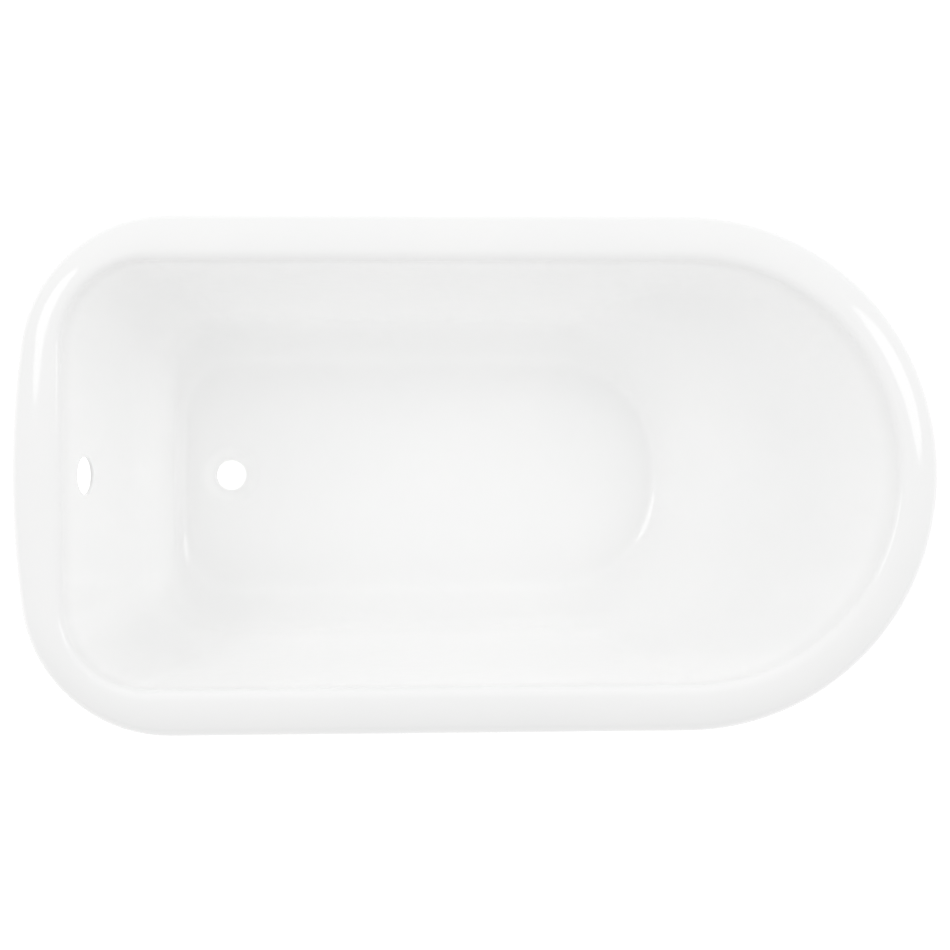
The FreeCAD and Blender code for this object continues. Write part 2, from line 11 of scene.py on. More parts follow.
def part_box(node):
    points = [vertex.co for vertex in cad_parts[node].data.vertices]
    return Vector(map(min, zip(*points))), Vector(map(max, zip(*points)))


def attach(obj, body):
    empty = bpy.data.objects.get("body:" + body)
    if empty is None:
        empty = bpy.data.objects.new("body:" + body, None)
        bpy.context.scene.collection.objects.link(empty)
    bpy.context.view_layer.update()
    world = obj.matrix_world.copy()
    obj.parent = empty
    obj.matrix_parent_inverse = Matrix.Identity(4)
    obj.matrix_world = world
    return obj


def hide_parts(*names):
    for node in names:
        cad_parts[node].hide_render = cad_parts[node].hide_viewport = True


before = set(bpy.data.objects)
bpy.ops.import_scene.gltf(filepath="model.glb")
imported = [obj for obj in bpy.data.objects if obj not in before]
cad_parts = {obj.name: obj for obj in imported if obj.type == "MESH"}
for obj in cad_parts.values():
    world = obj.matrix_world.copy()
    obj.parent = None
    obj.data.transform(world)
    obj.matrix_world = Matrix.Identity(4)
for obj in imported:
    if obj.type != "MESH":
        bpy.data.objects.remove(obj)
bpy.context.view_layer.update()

# ======================================================================== camera
# The photograph looks straight down on the tub from about 2.8 m above its rim, with the
# sloping head end to the right. The rolled rim's widest line, a little below its top, fills
# nearly the whole width of the frame.
scene = bpy.context.scene
scene.view_settings.view_transform = "Standard"

tub_low, tub_high = (Vector(corner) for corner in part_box("tub_body"))
RIM_LENGTH = tub_high.x - tub_low.x
RIM_HEIGHT = tub_high.z
CAMERA_RISE = 2.8
CAMERA_ROLL = math.radians(-0.23)
WIDEST_LINE_DROP = 0.034
FRAME_WIDTH = 1.409

camera_data = bpy.data.cameras.new("camera")
camera = bpy.data.objects.new("camera", camera_data)
camera.location = (0, -0.0015, RIM_HEIGHT + CAMERA_RISE)
camera.rotation_euler = (0, 0, CAMERA_ROLL)
camera_data.lens = camera_data.sensor_width * (CAMERA_RISE + WIDEST_LINE_DROP) / FRAME_WIDTH
camera_data.clip_end = 100
scene.collection.objects.link(camera)
scene.camera = camera

# ======================================================================== floor and light
# A plain white studio: a wide floor, nearly even white air, a little brighter past the tub's
# two ends, and two small soft lamps beyond them that draw the thin lines along the creases.
FLOOR_SPAN = 60


def new_material(name):
    """An empty node material, its nodes and its links."""
    material = bpy.data.materials.new(name)
    material.use_nodes = True
    material.node_tree.nodes.clear()
    return material, material.node_tree.nodes, material.node_tree.links


def seen_directly(nodes, links):
    """A factor of 1 for rays from the camera, in a mirror or through glass."""
    path = nodes.new("ShaderNodeLightPath")
    total = None
    for ray in ("Is Camera Ray", "Is Glossy Ray", "Is Transmission Ray"):
        if total is None:
            total = path.outputs[ray]
            continue
        add = nodes.new("ShaderNodeMath")
        add.operation = "MAXIMUM"
        links.new(total, add.inputs[0])
        links.new(path.outputs[ray], add.inputs[1])
        total = add.outputs[0]
    return total


def floor_material():
    material, nodes, links = new_material("studio_floor")
    diffuse = nodes.new("ShaderNodeBsdfDiffuse")
    diffuse.inputs["Color"].default_value = (0.80, 0.80, 0.80, 1)
    glow = nodes.new("ShaderNodeEmission")
    glow.inputs["Color"].default_value = (1, 1, 1, 1)
    glow.inputs["Strength"].default_value = 0.55
    both = nodes.new("ShaderNodeAddShader")
    links.new(diffuse.outputs[0], both.inputs[0])
    links.new(glow.outputs[0], both.inputs[1])
    choose = nodes.new("ShaderNodeMixShader")
    links.new(seen_directly(nodes, links), choose.inputs[0])
    links.new(diffuse.outputs[0], choose.inputs[1])
    links.new(both.outputs[0], choose.inputs[2])
    output = nodes.new("ShaderNodeOutputMaterial")
    links.new(choose.outputs[0], output.inputs["Surface"])
    return material


floor_mesh = bpy.data.meshes.new("studio_floor")
half_span = FLOOR_SPAN / 2
floor_mesh.from_pydata([(-half_span, -half_span, 0), (half_span, -half_span, 0),
                        (half_span, half_span, 0), (-half_span, half_span, 0)], [], [(0, 1, 2, 3)])
floor = bpy.data.objects.new("studio_floor", floor_mesh)
scene.collection.objects.link(floor)
floor_mesh.materials.append(floor_material())

world = bpy.data.worlds.new("studio_air")
scene.world = world
world.use_nodes = True
world.node_tree.nodes.clear()
air_nodes, air_links = world.node_tree.nodes, world.node_tree.links
AIR_AT_HORIZON = 0.85
AIR_CEILING_LOSS = -0.07
AIR_SIDE_GAIN = 0.13
AIR_END_GAIN = 0.08
ambient = air_nodes.new("ShaderNodeBackground")
direction = air_nodes.new("ShaderNodeTexCoord")
parts_of_direction = air_nodes.new("ShaderNodeSeparateXYZ")
air_links.new(direction.outputs["Generated"], parts_of_direction.inputs[0])


def air_math(operation, first, second, third=0.0):
    step = air_nodes.new("ShaderNodeMath")
    step.operation = operation
    for socket, value in zip(step.inputs, (first, second, third)):
        if isinstance(value, float):
            socket.default_value = value
        else:
            air_links.new(value, socket)
    return step.outputs[0]


height_squared = air_math("MULTIPLY", parts_of_direction.outputs["Z"], parts_of_direction.outputs["Z"])
sideways = air_math("MULTIPLY_ADD", parts_of_direction.outputs["Y"], AIR_SIDE_GAIN, AIR_AT_HORIZON)
end_squared = air_math("MULTIPLY", parts_of_direction.outputs["X"], parts_of_direction.outputs["X"])
endways = air_math("MULTIPLY_ADD", end_squared, AIR_END_GAIN, sideways)
air_strength = air_math("MULTIPLY_ADD", height_squared, AIR_CEILING_LOSS, endways)
air_links.new(air_strength, ambient.inputs["Strength"])
backdrop = air_nodes.new("ShaderNodeBackground")
backdrop.inputs["Strength"].default_value = 1.0
for background in (ambient, backdrop):
    background.inputs["Color"].default_value = (1, 1, 1, 1)
air = air_nodes.new("ShaderNodeMixShader")
air_links.new(seen_directly(air_nodes, air_links), air.inputs[0])
air_links.new(ambient.outputs[0], air.inputs[1])
air_links.new(backdrop.outputs[0], air.inputs[2])
air_output = air_nodes.new("ShaderNodeOutputWorld")
air_links.new(air.outputs[0], air_output.inputs["Surface"])


def soft_lamp(name, place, target, size, power):
    lamp = bpy.data.lights.new(name, "AREA")
    lamp.shape = "DISK"
    lamp.size = size
    lamp.energy = power
    holder = bpy.data.objects.new(name, lamp)
    holder.location = place
    direction = Vector(target) - Vector(place)
    holder.rotation_euler = direction.to_track_quat("-Z", "Y").to_euler()
    holder.visible_camera = False
    scene.collection.objects.link(holder)


soft_lamp("head_lamp", (3.0, 1.0, 3.4), (0, 0, 0.4), 1.8, 12)
soft_lamp("drain_lamp", (-3.0, 1.2, 3.6), (0, 0, 0.4), 1.8, 13)

# ======================================================================== tub
# One casting of grey iron, glazed with white enamel on the inside and over the rolled rim
# and painted white on the outside. The waste and overflow holes are bare, and four lugs
# with tapped holes stand under the floor for the feet.
SIDE_RIM = 0.071
DRAIN_RIM = 0.079
HEAD_RIM = 0.066
DRAIN_HALF_WIDTH = tub_high.y
HEAD_HALF_WIDTH = DRAIN_HALF_WIDTH - 0.005
RIM_CORNER = 0.222
INNER_CORNER = 0.125
RIM_BOW = 1.470
NOSE_EXTRA = 0.014
HEAD_CORNER_LESS = 0.009
ROLL_INNER = 0.015
ROLL_CROWN = 0.090
ROLL_OUTER = 0.028
ROLL_END = math.radians(100)
IRON_WALL = 0.006
BASIN_DEPTH = 0.445
FLOOR_FALL = math.radians(0.6)
SIDE_FILLET = 0.110
END_FLATNESS = 20
FLOOR_BOW = 1.500
FLOOR_CORNER = 0.084
FLOOR_NOSE = 0.222
FLOOR_HEAD_CORNER = 0.116


class WallSection:
    """Section of a basin wall: how far it stands inside the rim's inner edge at a depth."""

    def __init__(self, low_slope, fillet, run=None):
        self.low = math.radians(low_slope)
        self.fillet = fillet
        self.run = run
        self.fillet_depth = BASIN_DEPTH - fillet
        self.top = self.low
        if run:
            self._bend()
        else:
            high, high_depth = self._top_end(0)
            drop = self._fillet_start(0) - high_depth
            self.fillet_inset = high - drop / math.tan(self.top) - fillet * math.sin(self.top)

    def _top_end(self, cover):
        reach = ROLL_INNER - cover
        return ROLL_INNER - reach * math.sin(self.top), ROLL_INNER - reach * math.cos(self.top)

    def _fillet_start(self, cover):
        return self.fillet_depth + (self.fillet + cover) * math.cos(self.low)

    def _bend(self):
        """Bend the wall on one large arc that runs smoothly into the fillet."""
        self.fillet_inset = -self.run
        low = -self.run + self.fillet * math.sin(self.low)
        low_depth = self._fillet_start(0)
        for _ in range(40):
            high, high_depth = self._top_end(0)
            chord_slope = math.atan2(low_depth - high_depth, high - low)
            self.top = 2 * chord_slope - self.low
        chord = math.hypot(low_depth - high_depth, high - low)
        self.radius = chord / 2 / math.sin((self.top - self.low) / 2)
        self.centre = low - self.radius * math.sin(self.low)
        self.centre_depth = low_depth - self.radius * math.cos(self.low)

    def inset(self, depth, cover):
        high, high_depth = self._top_end(cover)
        if depth <= high_depth:
            reach = ROLL_INNER - cover
            rise = min(ROLL_INNER - depth, reach)
            return ROLL_INNER - math.sqrt(max(reach ** 2 - rise ** 2, 0))
        if depth >= self._fillet_start(cover):
            reach = self.fillet + cover
            rise = min(depth - self.fillet_depth, reach)
            return self.fillet_inset + math.sqrt(max(reach ** 2 - rise ** 2, 0))
        if self.run:
            reach = self.radius + cover
            return self.centre + math.sqrt(reach ** 2 - (depth - self.centre_depth) ** 2)
        return high - (depth - high_depth) / math.tan(self.top)


side_wall = WallSection(76, SIDE_FILLET, 0.163)
drain_wall = WallSection(76.5, 0.025)
back_wall = WallSection(42, 0.040, 0.332)

BOW_STEPS = 48
CORNER_STEPS = 18
SIDE_STEPS = 36
HEAD_STEPS = 22
NOSE_STEPS = 40


def arc_points(centre, radius, start, end, steps):
    angles = np.linspace(start, end, steps, endpoint=False)
    return np.stack([centre[0] + radius * np.cos(angles), centre[1] + radius * np.sin(angles)], 1)


def outline(side, drain, back):
    """Points round the tub in plan, anticlockwise from the drain end's right-hand corner."""
    drain_half = DRAIN_HALF_WIDTH - SIDE_RIM + side
    head_half = HEAD_HALF_WIDTH - SIDE_RIM + side
    corner = INNER_CORNER
    nose = HEAD_HALF_WIDTH + NOSE_EXTRA - SIDE_RIM
    head = HEAD_HALF_WIDTH - HEAD_CORNER_LESS - SIDE_RIM
    if side >= 0:
        share = side / SIDE_RIM
        corner += (RIM_CORNER - corner) * share
        nose += side
        head += side
        drain = drain * DRAIN_RIM / SIDE_RIM
        back = back * HEAD_RIM / SIDE_RIM
        curve = share / RIM_BOW + (1 - share) / END_FLATNESS
    else:
        low = side / side_wall.fillet_inset
        corner += (FLOOR_CORNER - corner) * low
        nose += (FLOOR_NOSE - nose) * low
        head += (FLOOR_HEAD_CORNER - head) * low
        curve = low / FLOOR_BOW + (1 - low) / END_FLATNESS
    bow = 1 / curve
    bow_x = -RIM_LENGTH / 2 + DRAIN_RIM - drain + bow
    nose_x = RIM_LENGTH / 2 - HEAD_RIM + back - nose
    corner_y = drain_half - corner
    corner_x = bow_x - math.sqrt((bow - corner) ** 2 - corner_y ** 2)
    head_y = head_half - head
    head_x = nose_x + math.sqrt((nose - head) ** 2 - head_y ** 2)
    bow_turn = math.atan2(corner_y, corner_x - bow_x)
    nose_turn = math.atan2(head_y, head_x - nose_x)
    run = math.hypot(head_x - corner_x, head_y - corner_y)
    turn = math.atan2(head_y - corner_y, head_x - corner_x) + math.acos((corner - head) / run)
    start = np.array([corner_x + corner * math.cos(turn), corner_y + corner * math.sin(turn)])
    end = np.array([head_x + head * math.cos(turn), head_y + head * math.sin(turn)])
    shares = np.linspace(0, 1, SIDE_STEPS, endpoint=False)[:, None]
    mirror = np.array([1, -1])
    return np.concatenate([
        arc_points((bow_x, 0), bow, 2 * math.pi - bow_turn, bow_turn, BOW_STEPS),
        arc_points((corner_x, corner_y), corner, bow_turn, turn, CORNER_STEPS),
        start + (end - start) * shares,
        arc_points((head_x, head_y), head, turn, nose_turn, HEAD_STEPS),
        arc_points((nose_x, 0), nose, nose_turn, -nose_turn, NOSE_STEPS),
        arc_points((head_x, -head_y), head, -nose_turn, -turn, HEAD_STEPS),
        (end + (start - end) * shares) * mirror,
        arc_points((corner_x, -corner_y), corner, -turn, -bow_turn, CORNER_STEPS),
    ])


def level_ring(points, depth):
    """Set an outline at a depth, tipped towards the drain as it nears the floor."""
    tip = FLOOR_FALL * (max(depth, 0) / BASIN_DEPTH) ** 2
    height = RIM_HEIGHT - depth + points[:, 0] * math.sin(tip)
    return np.column_stack([points[:, 0] * math.cos(tip), points[:, 1], height])


def wall_ring(depth, cover):
    return level_ring(outline(side_wall.inset(depth, cover), drain_wall.inset(depth, cover),
                              back_wall.inset(depth, cover)), depth)


def rim_ring(offset, depth):
    return level_ring(outline(offset, offset, offset), depth)


ROLL_TURN = math.asin((SIDE_RIM - ROLL_INNER - ROLL_OUTER) / (ROLL_CROWN - ROLL_OUTER))
ROLL_CENTRE = (ROLL_INNER + (ROLL_CROWN - ROLL_OUTER) * math.sin(ROLL_TURN),
               ROLL_CROWN - (ROLL_CROWN - ROLL_OUTER) * math.cos(ROLL_TURN))
PATCH_TOP = 0.036
PATCH_BOTTOM = 0.142
PATCH_ROWS = 16
PATCH_COLUMNS = 16
LIP_ROWS = 8
UPPER_WALL_ROWS = 3


def roll_point(angle, cover):
    if angle > ROLL_TURN:
        reach = ROLL_OUTER - cover
        return ROLL_CENTRE[0] + reach * math.sin(angle), ROLL_CENTRE[1] - reach * math.cos(angle)
    reach = ROLL_CROWN - cover
    return ROLL_INNER + reach * math.sin(angle), ROLL_CROWN - reach * math.cos(angle)


def skin_rings(cover):
    """Rings of one face of the shell, from the lip over the rim and down to the floor."""
    angles = list(np.linspace(ROLL_END, ROLL_TURN, 14)) + list(np.linspace(ROLL_TURN, 0, 9))[1:]
    rings = [rim_ring(*roll_point(angle, cover)) for angle in angles]
    reach = ROLL_INNER - cover
    depths = [ROLL_INNER - reach * math.cos(angle) for angle in np.linspace(0, 1.25, LIP_ROWS + 1)[1:]]
    depths += list(np.linspace(ROLL_INNER + 0.002, PATCH_TOP, UPPER_WALL_ROWS, endpoint=False))
    depths += list(np.linspace(PATCH_TOP, PATCH_BOTTOM, PATCH_ROWS + 1))
    deep = BASIN_DEPTH + cover
    depths += list(np.linspace(PATCH_BOTTOM, deep - SIDE_FILLET * 0.9, 15))[1:]
    depths += [deep - SIDE_FILLET * (1 - math.cos(angle)) for angle in np.linspace(1.45, 0, 22)]
    first_patch_row = len(angles) + LIP_ROWS + UPPER_WALL_ROWS
    return rings + [wall_ring(depth, cover) for depth in depths], first_patch_row


class Surface:
    """Rings of vertices, joined by quads."""

    def __init__(self):
        self.points = []
        self.faces = []
        self.tones = []

    def ring(self, points):
        start = len(self.points)
        self.points.extend(np.asarray(points).tolist())
        return list(range(start, len(self.points)))

    def bridge(self, first, second, tone=0, skip=()):
        count = len(first)
        for index in range(count):
            if index in skip:
                continue
            following = (index + 1) % count
            self.faces.append((first[index], first[following], second[following], second[index]))
            self.tones.append(tone)

    def chain(self, rings, tone=0):
        for first, second in zip(rings, rings[1:]):
            self.bridge(first, second, tone)

    def cap(self, ring, tone=0):
        self.faces.append(tuple(ring))
        self.tones.append(tone)

    def object(self, name, materials):
        mesh = bpy.data.meshes.new(name)
        mesh.from_pydata(self.points, [], self.faces)
        for material in materials:
            mesh.materials.append(material)
        mesh.polygons.foreach_set("material_index", self.tones)
        work = bmesh.new()
        work.from_mesh(mesh)
        bmesh.ops.recalc_face_normals(work, faces=work.faces)
        work.to_mesh(mesh)
        work.free()
        mesh.polygons.foreach_set("use_smooth", [True] * len(mesh.polygons))
        made = bpy.data.objects.new(name, mesh)
        scene.collection.objects.link(made)
        return made


DRAIN_X = -0.415
DRAIN_BORE = 0.0508
DISH_DEPTH = 0.007
DISH_EDGE = 0.052
OVERFLOW_DEPTH = 0.090
OVERFLOW_BORE = 0.057
EDGE_ROUND = 0.002
LUG_RADIUS = 0.023
LUG_BORE = 0.0106
LUG_BORE_DEPTH = 0.014
LUG_STEPS = 48
SEAT_PLATE = 0.012
ENAMEL, PAINT = 0, 1
BOUNCED_LIGHT = 0.045
BOUNCED_DEPTHS = (0.004, 0.05)
CREASE_LIGHT = 0.03
CREASE_DEPTHS = (0.20, 0.40)
CREASE_TILT = 0.9


def smooth_step(value):
    value = np.clip(value, 0, 1)
    return value * value * (3 - 2 * value)


def floor_level(x, cover):
    return RIM_HEIGHT - BASIN_DEPTH - cover + x * math.tan(FLOOR_FALL)


def drain_rings(surface, edge, cover, radii, depth_at):
    """Rings over the flat floor, from its outline in to the circles round the drain."""
    outline_points = np.array(surface.points)[edge]
    offset = outline_points[:, :2] - (DRAIN_X, 0)
    distance = np.linalg.norm(offset, axis=1)[:, None]
    direction = offset / distance
    rings = [edge]
    for share in np.linspace(0, 1, 16)[1:]:
        reach = distance + (radii[0] - distance) * share ** 0.8
        flat = direction * reach + (DRAIN_X, 0)
        rings.append(surface.ring(np.column_stack([flat, floor_level(flat[:, 0], cover)])))
    for radius in radii[1:]:
        flat = direction * radius + (DRAIN_X, 0)
        depth = depth_at(radius)
        rings.append(surface.ring(np.column_stack([flat, floor_level(flat[:, 0], cover) - depth])))
    return rings


def dish_depth(radius):
    """Depth of the enamelled dish at a distance from the drain's axis."""
    hole = DRAIN_BORE / 2
    depth = DISH_DEPTH * (1 - smooth_step((radius - hole) / (DISH_EDGE - hole)))
    if radius < hole + EDGE_ROUND:
        turn = (hole + EDGE_ROUND - radius) / EDGE_ROUND
        depth += EDGE_ROUND * (1 - math.sqrt(max(1 - turn ** 2, 0)))
    return depth


def boss_depth(radius):
    """How far the boss under the dish stands below the underside."""
    return DISH_DEPTH * (1 - smooth_step((radius - 0.040) / 0.020))


def overflow_patch(surface, block, cover, outward):
    """Rings from the block of cells left out of the end wall in to the overflow hole."""
    points = np.array(surface.points)[block]
    slope = drain_wall.low
    down = np.array([math.cos(slope), 0, -math.sin(slope)])
    wall_normal = np.array([-math.sin(slope), 0, -math.cos(slope)])
    hole_x = -RIM_LENGTH / 2 + DRAIN_RIM - drain_wall.inset(OVERFLOW_DEPTH, 0)
    centre = np.array([hole_x, 0, RIM_HEIGHT - OVERFLOW_DEPTH]) + wall_normal * cover
    offset = points - centre
    angle = np.arctan2(offset @ down, offset[:, 1])
    circle = np.outer(np.cos(angle), (0, 1, 0)) + np.outer(np.sin(angle), down)
    hole = OVERFLOW_BORE / 2
    outer = centre + circle * (hole + 3 * EDGE_ROUND)
    rings = [block]
    for share in (0.3, 0.6, 0.85, 1):
        rings.append(surface.ring(points + (outer - points) * share))
    sink = wall_normal * outward
    for turn in (0, 0.35, 0.7, 1):
        radius = hole + EDGE_ROUND * (1 - math.sin(turn * math.pi / 2))
        fall = EDGE_ROUND * (1 - math.cos(turn * math.pi / 2))
        rings.append(surface.ring(centre + circle * radius + sink * fall))
    return rings


def lug(surface, place, seat, underside):
    """A cast lug: flat face, tapped hole, and a flare that runs into the tub's underside."""
    radius = LUG_RADIUS
    bore = LUG_BORE / 2
    angles = np.linspace(0, 2 * math.pi, LUG_STEPS, endpoint=False)
    circle = np.column_stack([np.cos(angles), np.sin(angles)])

    def level(reach, height):
        flat = np.array(place) + circle * reach
        return surface.ring(np.column_stack([flat, np.full(LUG_STEPS, height)]))

    def blended(reach, below):
        flat = np.array(place) + circle * reach
        heights = [underside(x, y) - below for x, y in flat]
        return surface.ring(np.column_stack([flat, heights]))

    rings = [level(bore, seat + LUG_BORE_DEPTH), level(bore, seat + 0.001), level(bore + 0.001, seat),
             level(radius - 0.003, seat), level(radius - 0.0008, seat + 0.0006),
             level(radius, seat + 0.0025)]
    rings += [blended(radius + 0.0002, 0.006), blended(radius + 0.0012, 0.0030),
              blended(radius + 0.0034, 0.0011), blended(radius + 0.0070, 0.0001),
              blended(radius + 0.0100, -0.0015), blended(radius - 0.004, -0.003)]
    surface.cap(rings[0], PAINT)
    surface.chain(rings, PAINT)
    surface.cap(rings[-1], PAINT)


def noise(nodes, links, coordinates, scale, detail=4.0, roughness=0.55):
    texture = nodes.new("ShaderNodeTexNoise")
    texture.inputs["Scale"].default_value = scale
    texture.inputs["Detail"].default_value = detail
    texture.inputs["Roughness"].default_value = roughness
    links.new(coordinates, texture.inputs["Vector"])
    return texture.outputs["Fac"]


def blend_colours(nodes, links, factor, low, high):
    ramp = nodes.new("ShaderNodeValToRGB")
    ramp.color_ramp.elements[0].position = 0.35
    ramp.color_ramp.elements[0].color = (*low, 1)
    ramp.color_ramp.elements[1].position = 0.65
    ramp.color_ramp.elements[1].color = (*high, 1)
    links.new(factor, ramp.inputs["Fac"])
    return ramp.outputs["Color"]


def remap(nodes, links, value, low, high):
    """Map a noise value's usual span onto the range between two numbers."""
    spread = nodes.new("ShaderNodeMapRange")
    spread.inputs["From Min"].default_value = 0.3
    spread.inputs["From Max"].default_value = 0.7
    spread.inputs["To Min"].default_value = low
    spread.inputs["To Max"].default_value = high
    links.new(value, spread.inputs["Value"])
    return spread.outputs["Result"]


def bump(nodes, links, height, distance, strength=1.0, under=None):
    relief = nodes.new("ShaderNodeBump")
    relief.inputs["Strength"].default_value = strength
    relief.inputs["Distance"].default_value = distance
    links.new(height, relief.inputs["Height"])
    if under:
        links.new(under, relief.inputs["Normal"])
    return relief.outputs["Normal"]


def finish_surface(nodes, links, shader):
    output = nodes.new("ShaderNodeOutputMaterial")
    links.new(shader.outputs[0], output.inputs["Surface"])


def enamel_material():
    """Fired white enamel: glassy, very slightly wavy, with a faint cloudiness.

    A weak painted glow below the rim stands in for light that bounces inside the basin more often
    than the render follows it, and a little more painted light lies low in the basin where the
    surface tilts off the flat floor.
    """
    material, nodes, links = new_material("white_enamel")
    place = nodes.new("ShaderNodeTexCoord").outputs["Object"]
    shader = nodes.new("ShaderNodeBsdfPrincipled")
    cloud = noise(nodes, links, place, 5)
    links.new(blend_colours(nodes, links, cloud, (0.962, 0.964, 0.962), (0.975, 0.975, 0.972)),
              shader.inputs["Base Color"])
    gloss = remap(nodes, links, noise(nodes, links, place, 34), 0.07, 0.13)
    links.new(gloss, shader.inputs["Roughness"])
    wave = bump(nodes, links, noise(nodes, links, place, 22, 2), 0.0006, 0.35)
    peel = bump(nodes, links, noise(nodes, links, place, 260, 3), 0.00006, 0.5, wave)
    links.new(peel, shader.inputs["Normal"])
    shader.inputs["IOR"].default_value = 1.52
    shader.inputs["Coat Weight"].default_value = 0.35
    shader.inputs["Coat Roughness"].default_value = 0.04
    height = nodes.new("ShaderNodeSeparateXYZ")
    links.new(place, height.inputs[0])
    facing = nodes.new("ShaderNodeSeparateXYZ")
    links.new(nodes.new("ShaderNodeNewGeometry").outputs["Normal"], facing.inputs[0])

    def ramp(value, start, end, low=0.0, high=1.0):
        step = nodes.new("ShaderNodeMapRange")
        step.interpolation_type = "SMOOTHSTEP"
        for socket, number in zip(("From Min", "From Max", "To Min", "To Max"), (start, end, low, high)):
            step.inputs[socket].default_value = number
        links.new(value, step.inputs["Value"])
        return step.outputs[0]

    below_rim, low_down = (ramp(height.outputs["Z"], RIM_HEIGHT - start, RIM_HEIGHT - end, high=light)
                           for (start, end), light in ((BOUNCED_DEPTHS, BOUNCED_LIGHT),
                                                       (CREASE_DEPTHS, CREASE_LIGHT)))
    # Painted light: extra glow low in the basin, on the lower walls and fillets but not on the flat
    # floor.
    in_crease = nodes.new("ShaderNodeMath")
    in_crease.operation = "MULTIPLY"
    links.new(low_down, in_crease.inputs[0])
    links.new(ramp(facing.outputs["Z"], CREASE_TILT, 1.0, 1.0, 0.0), in_crease.inputs[1])
    glow = nodes.new("ShaderNodeMath")
    links.new(below_rim, glow.inputs[0])
    links.new(in_crease.outputs[0], glow.inputs[1])
    shader.inputs["Emission Color"].default_value = (1, 1, 1, 1)
    links.new(glow.outputs[0], shader.inputs["Emission Strength"])
    finish_surface(nodes, links, shader)
    return material


def paint_material():
    """White paint over the rough outside of the casting."""
    material, nodes, links = new_material("outside_paint")
    place = nodes.new("ShaderNodeTexCoord").outputs["Object"]
    shader = nodes.new("ShaderNodeBsdfPrincipled")
    cloud = noise(nodes, links, place, 9)
    links.new(blend_colours(nodes, links, cloud, (0.865, 0.865, 0.855), (0.895, 0.895, 0.888)),
              shader.inputs["Base Color"])
    gloss = remap(nodes, links, noise(nodes, links, place, 60), 0.28, 0.42)
    links.new(gloss, shader.inputs["Roughness"])
    coarse = bump(nodes, links, noise(nodes, links, place, 90, 3), 0.0008, 0.35)
    grain = bump(nodes, links, noise(nodes, links, place, 420, 4), 0.0002, 0.5, coarse)
    links.new(grain, shader.inputs["Normal"])
    finish_surface(nodes, links, shader)
    return material


def tub():
    surface = Surface()
    front_points, patch_row = skin_rings(0)
    back_points, _ = skin_rings(IRON_WALL)
    front = [surface.ring(points) for points in front_points]
    back = [surface.ring(points) for points in back_points]
    first_column = (BOW_STEPS - PATCH_COLUMNS) // 2
    columns = range(first_column, first_column + PATCH_COLUMNS)
    rows = range(patch_row, patch_row + PATCH_ROWS)
    for skin, tone in ((front, ENAMEL), (back, PAINT)):
        for row in range(len(skin) - 1):
            surface.bridge(skin[row], skin[row + 1], tone, columns if row in rows else ())

    middle = [roll_point(ROLL_END, IRON_WALL * share) for share in (0.08, 0.3, 0.5, 0.7, 0.92)]
    nose = []
    for (offset, depth), bulge in zip(middle, (0.0008, 0.0020, 0.0024, 0.0020, 0.0008)):
        nose.append(surface.ring(rim_ring(offset - bulge * math.sin(ROLL_END - math.pi / 2),
                                          depth + bulge)))
    surface.chain([front[0]] + nose[:3], ENAMEL)
    surface.chain(nose[2:] + [back[0]], PAINT)

    hole = DRAIN_BORE / 2
    dish_radii = [0.064, 0.060, DISH_EDGE] + list(np.linspace(DISH_EDGE, hole + EDGE_ROUND, 12))[1:]
    dish_radii += [hole + EDGE_ROUND * (1 - math.sin(turn)) for turn in (0.4, 0.8, 1.2, math.pi / 2)]
    dish = drain_rings(surface, front[-1], 0, dish_radii, dish_depth)
    boss_radii = [0.066, 0.062, 0.058, 0.054, 0.050, 0.046, 0.042, 0.039, 0.034, hole + 0.001, hole]
    boss = drain_rings(surface, back[-1], IRON_WALL, boss_radii, boss_depth)
    surface.chain(dish, ENAMEL)
    surface.chain(boss, PAINT)
    surface.bridge(dish[-1], boss[-1], ENAMEL)

    patches = []
    for skin, cover, outward in ((front, 0, 1), (back, IRON_WALL, -1)):
        top, bottom = skin[rows[0]], skin[rows[-1] + 1]
        left, right = columns[0], columns[-1] + 1
        block = [top[column] for column in range(left, right)]
        block += [skin[row][right] for row in range(rows[0], rows[-1] + 1)]
        block += [bottom[column] for column in range(right, left, -1)]
        block += [skin[row][left] for row in range(rows[-1] + 1, rows[0], -1)]
        patches.append(overflow_patch(surface, block, cover, outward))
    surface.chain(patches[0], ENAMEL)
    surface.chain(patches[1], PAINT)
    surface.bridge(patches[0][-1], patches[1][-1], ENAMEL)

    tree = BVHTree.FromPolygons(surface.points, surface.faces)

    def underside(x, y):
        return tree.ray_cast(Vector((x, y, 0)), Vector((0, 0, 1)))[0].z

    for name in ("drain_left", "drain_right", "head_left", "head_right"):
        low, high = (Vector(corner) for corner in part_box(f"foot_stud_{name}"))
        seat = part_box(f"foot_washer_{name}")[1][2] + SEAT_PLATE
        lug(surface, ((low.x + high.x) / 2, (low.y + high.y) / 2), seat, underside)
    made = surface.object("enamelled_tub", (enamel_material(), paint_material()))
    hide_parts("tub_body")
    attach(made, "root")


tub()

# ======================================================================== feet
# Four hollow castings of grey iron with a satin nickel finish. Each is a ball gripped by a
# bird's claw, a scaled ankle with a collar, and a leaf in relief that lies against the tub.
# A stud through the seat plate holds the foot under a lug.
BALL_RADIUS = 0.038
BALL_HEIGHT = 0.028
SEAT_HEIGHT = 0.138
CREST_HEIGHT = 0.230
ANKLE_HEIGHT = 0.086
LEAF_HALF_WIDTH = 0.065
ANKLE_HALF_WIDTH = 0.021
LEAF_ROOT_HEIGHT = 0.114
COLLAR_HEIGHT = 0.119
LOBE_ANGLE = math.radians(17)
LOBE_RISE = 0.0034
VEIN_DEPTH = 0.0007
EDGE_RISE = 0.0022
MIDRIB_RISE = 0.0022
NOTCH_DEPTH = 0.0042
ANKLE_REACH = 0.040
BEAD_PAIRS = 11
TENDON_WIDTH = 0.0105
SCUTE_PITCH = 0.0078
PLATE_TURN = 9.2
TALON_TURNS = (math.radians(-50), 0, math.radians(50), math.pi)
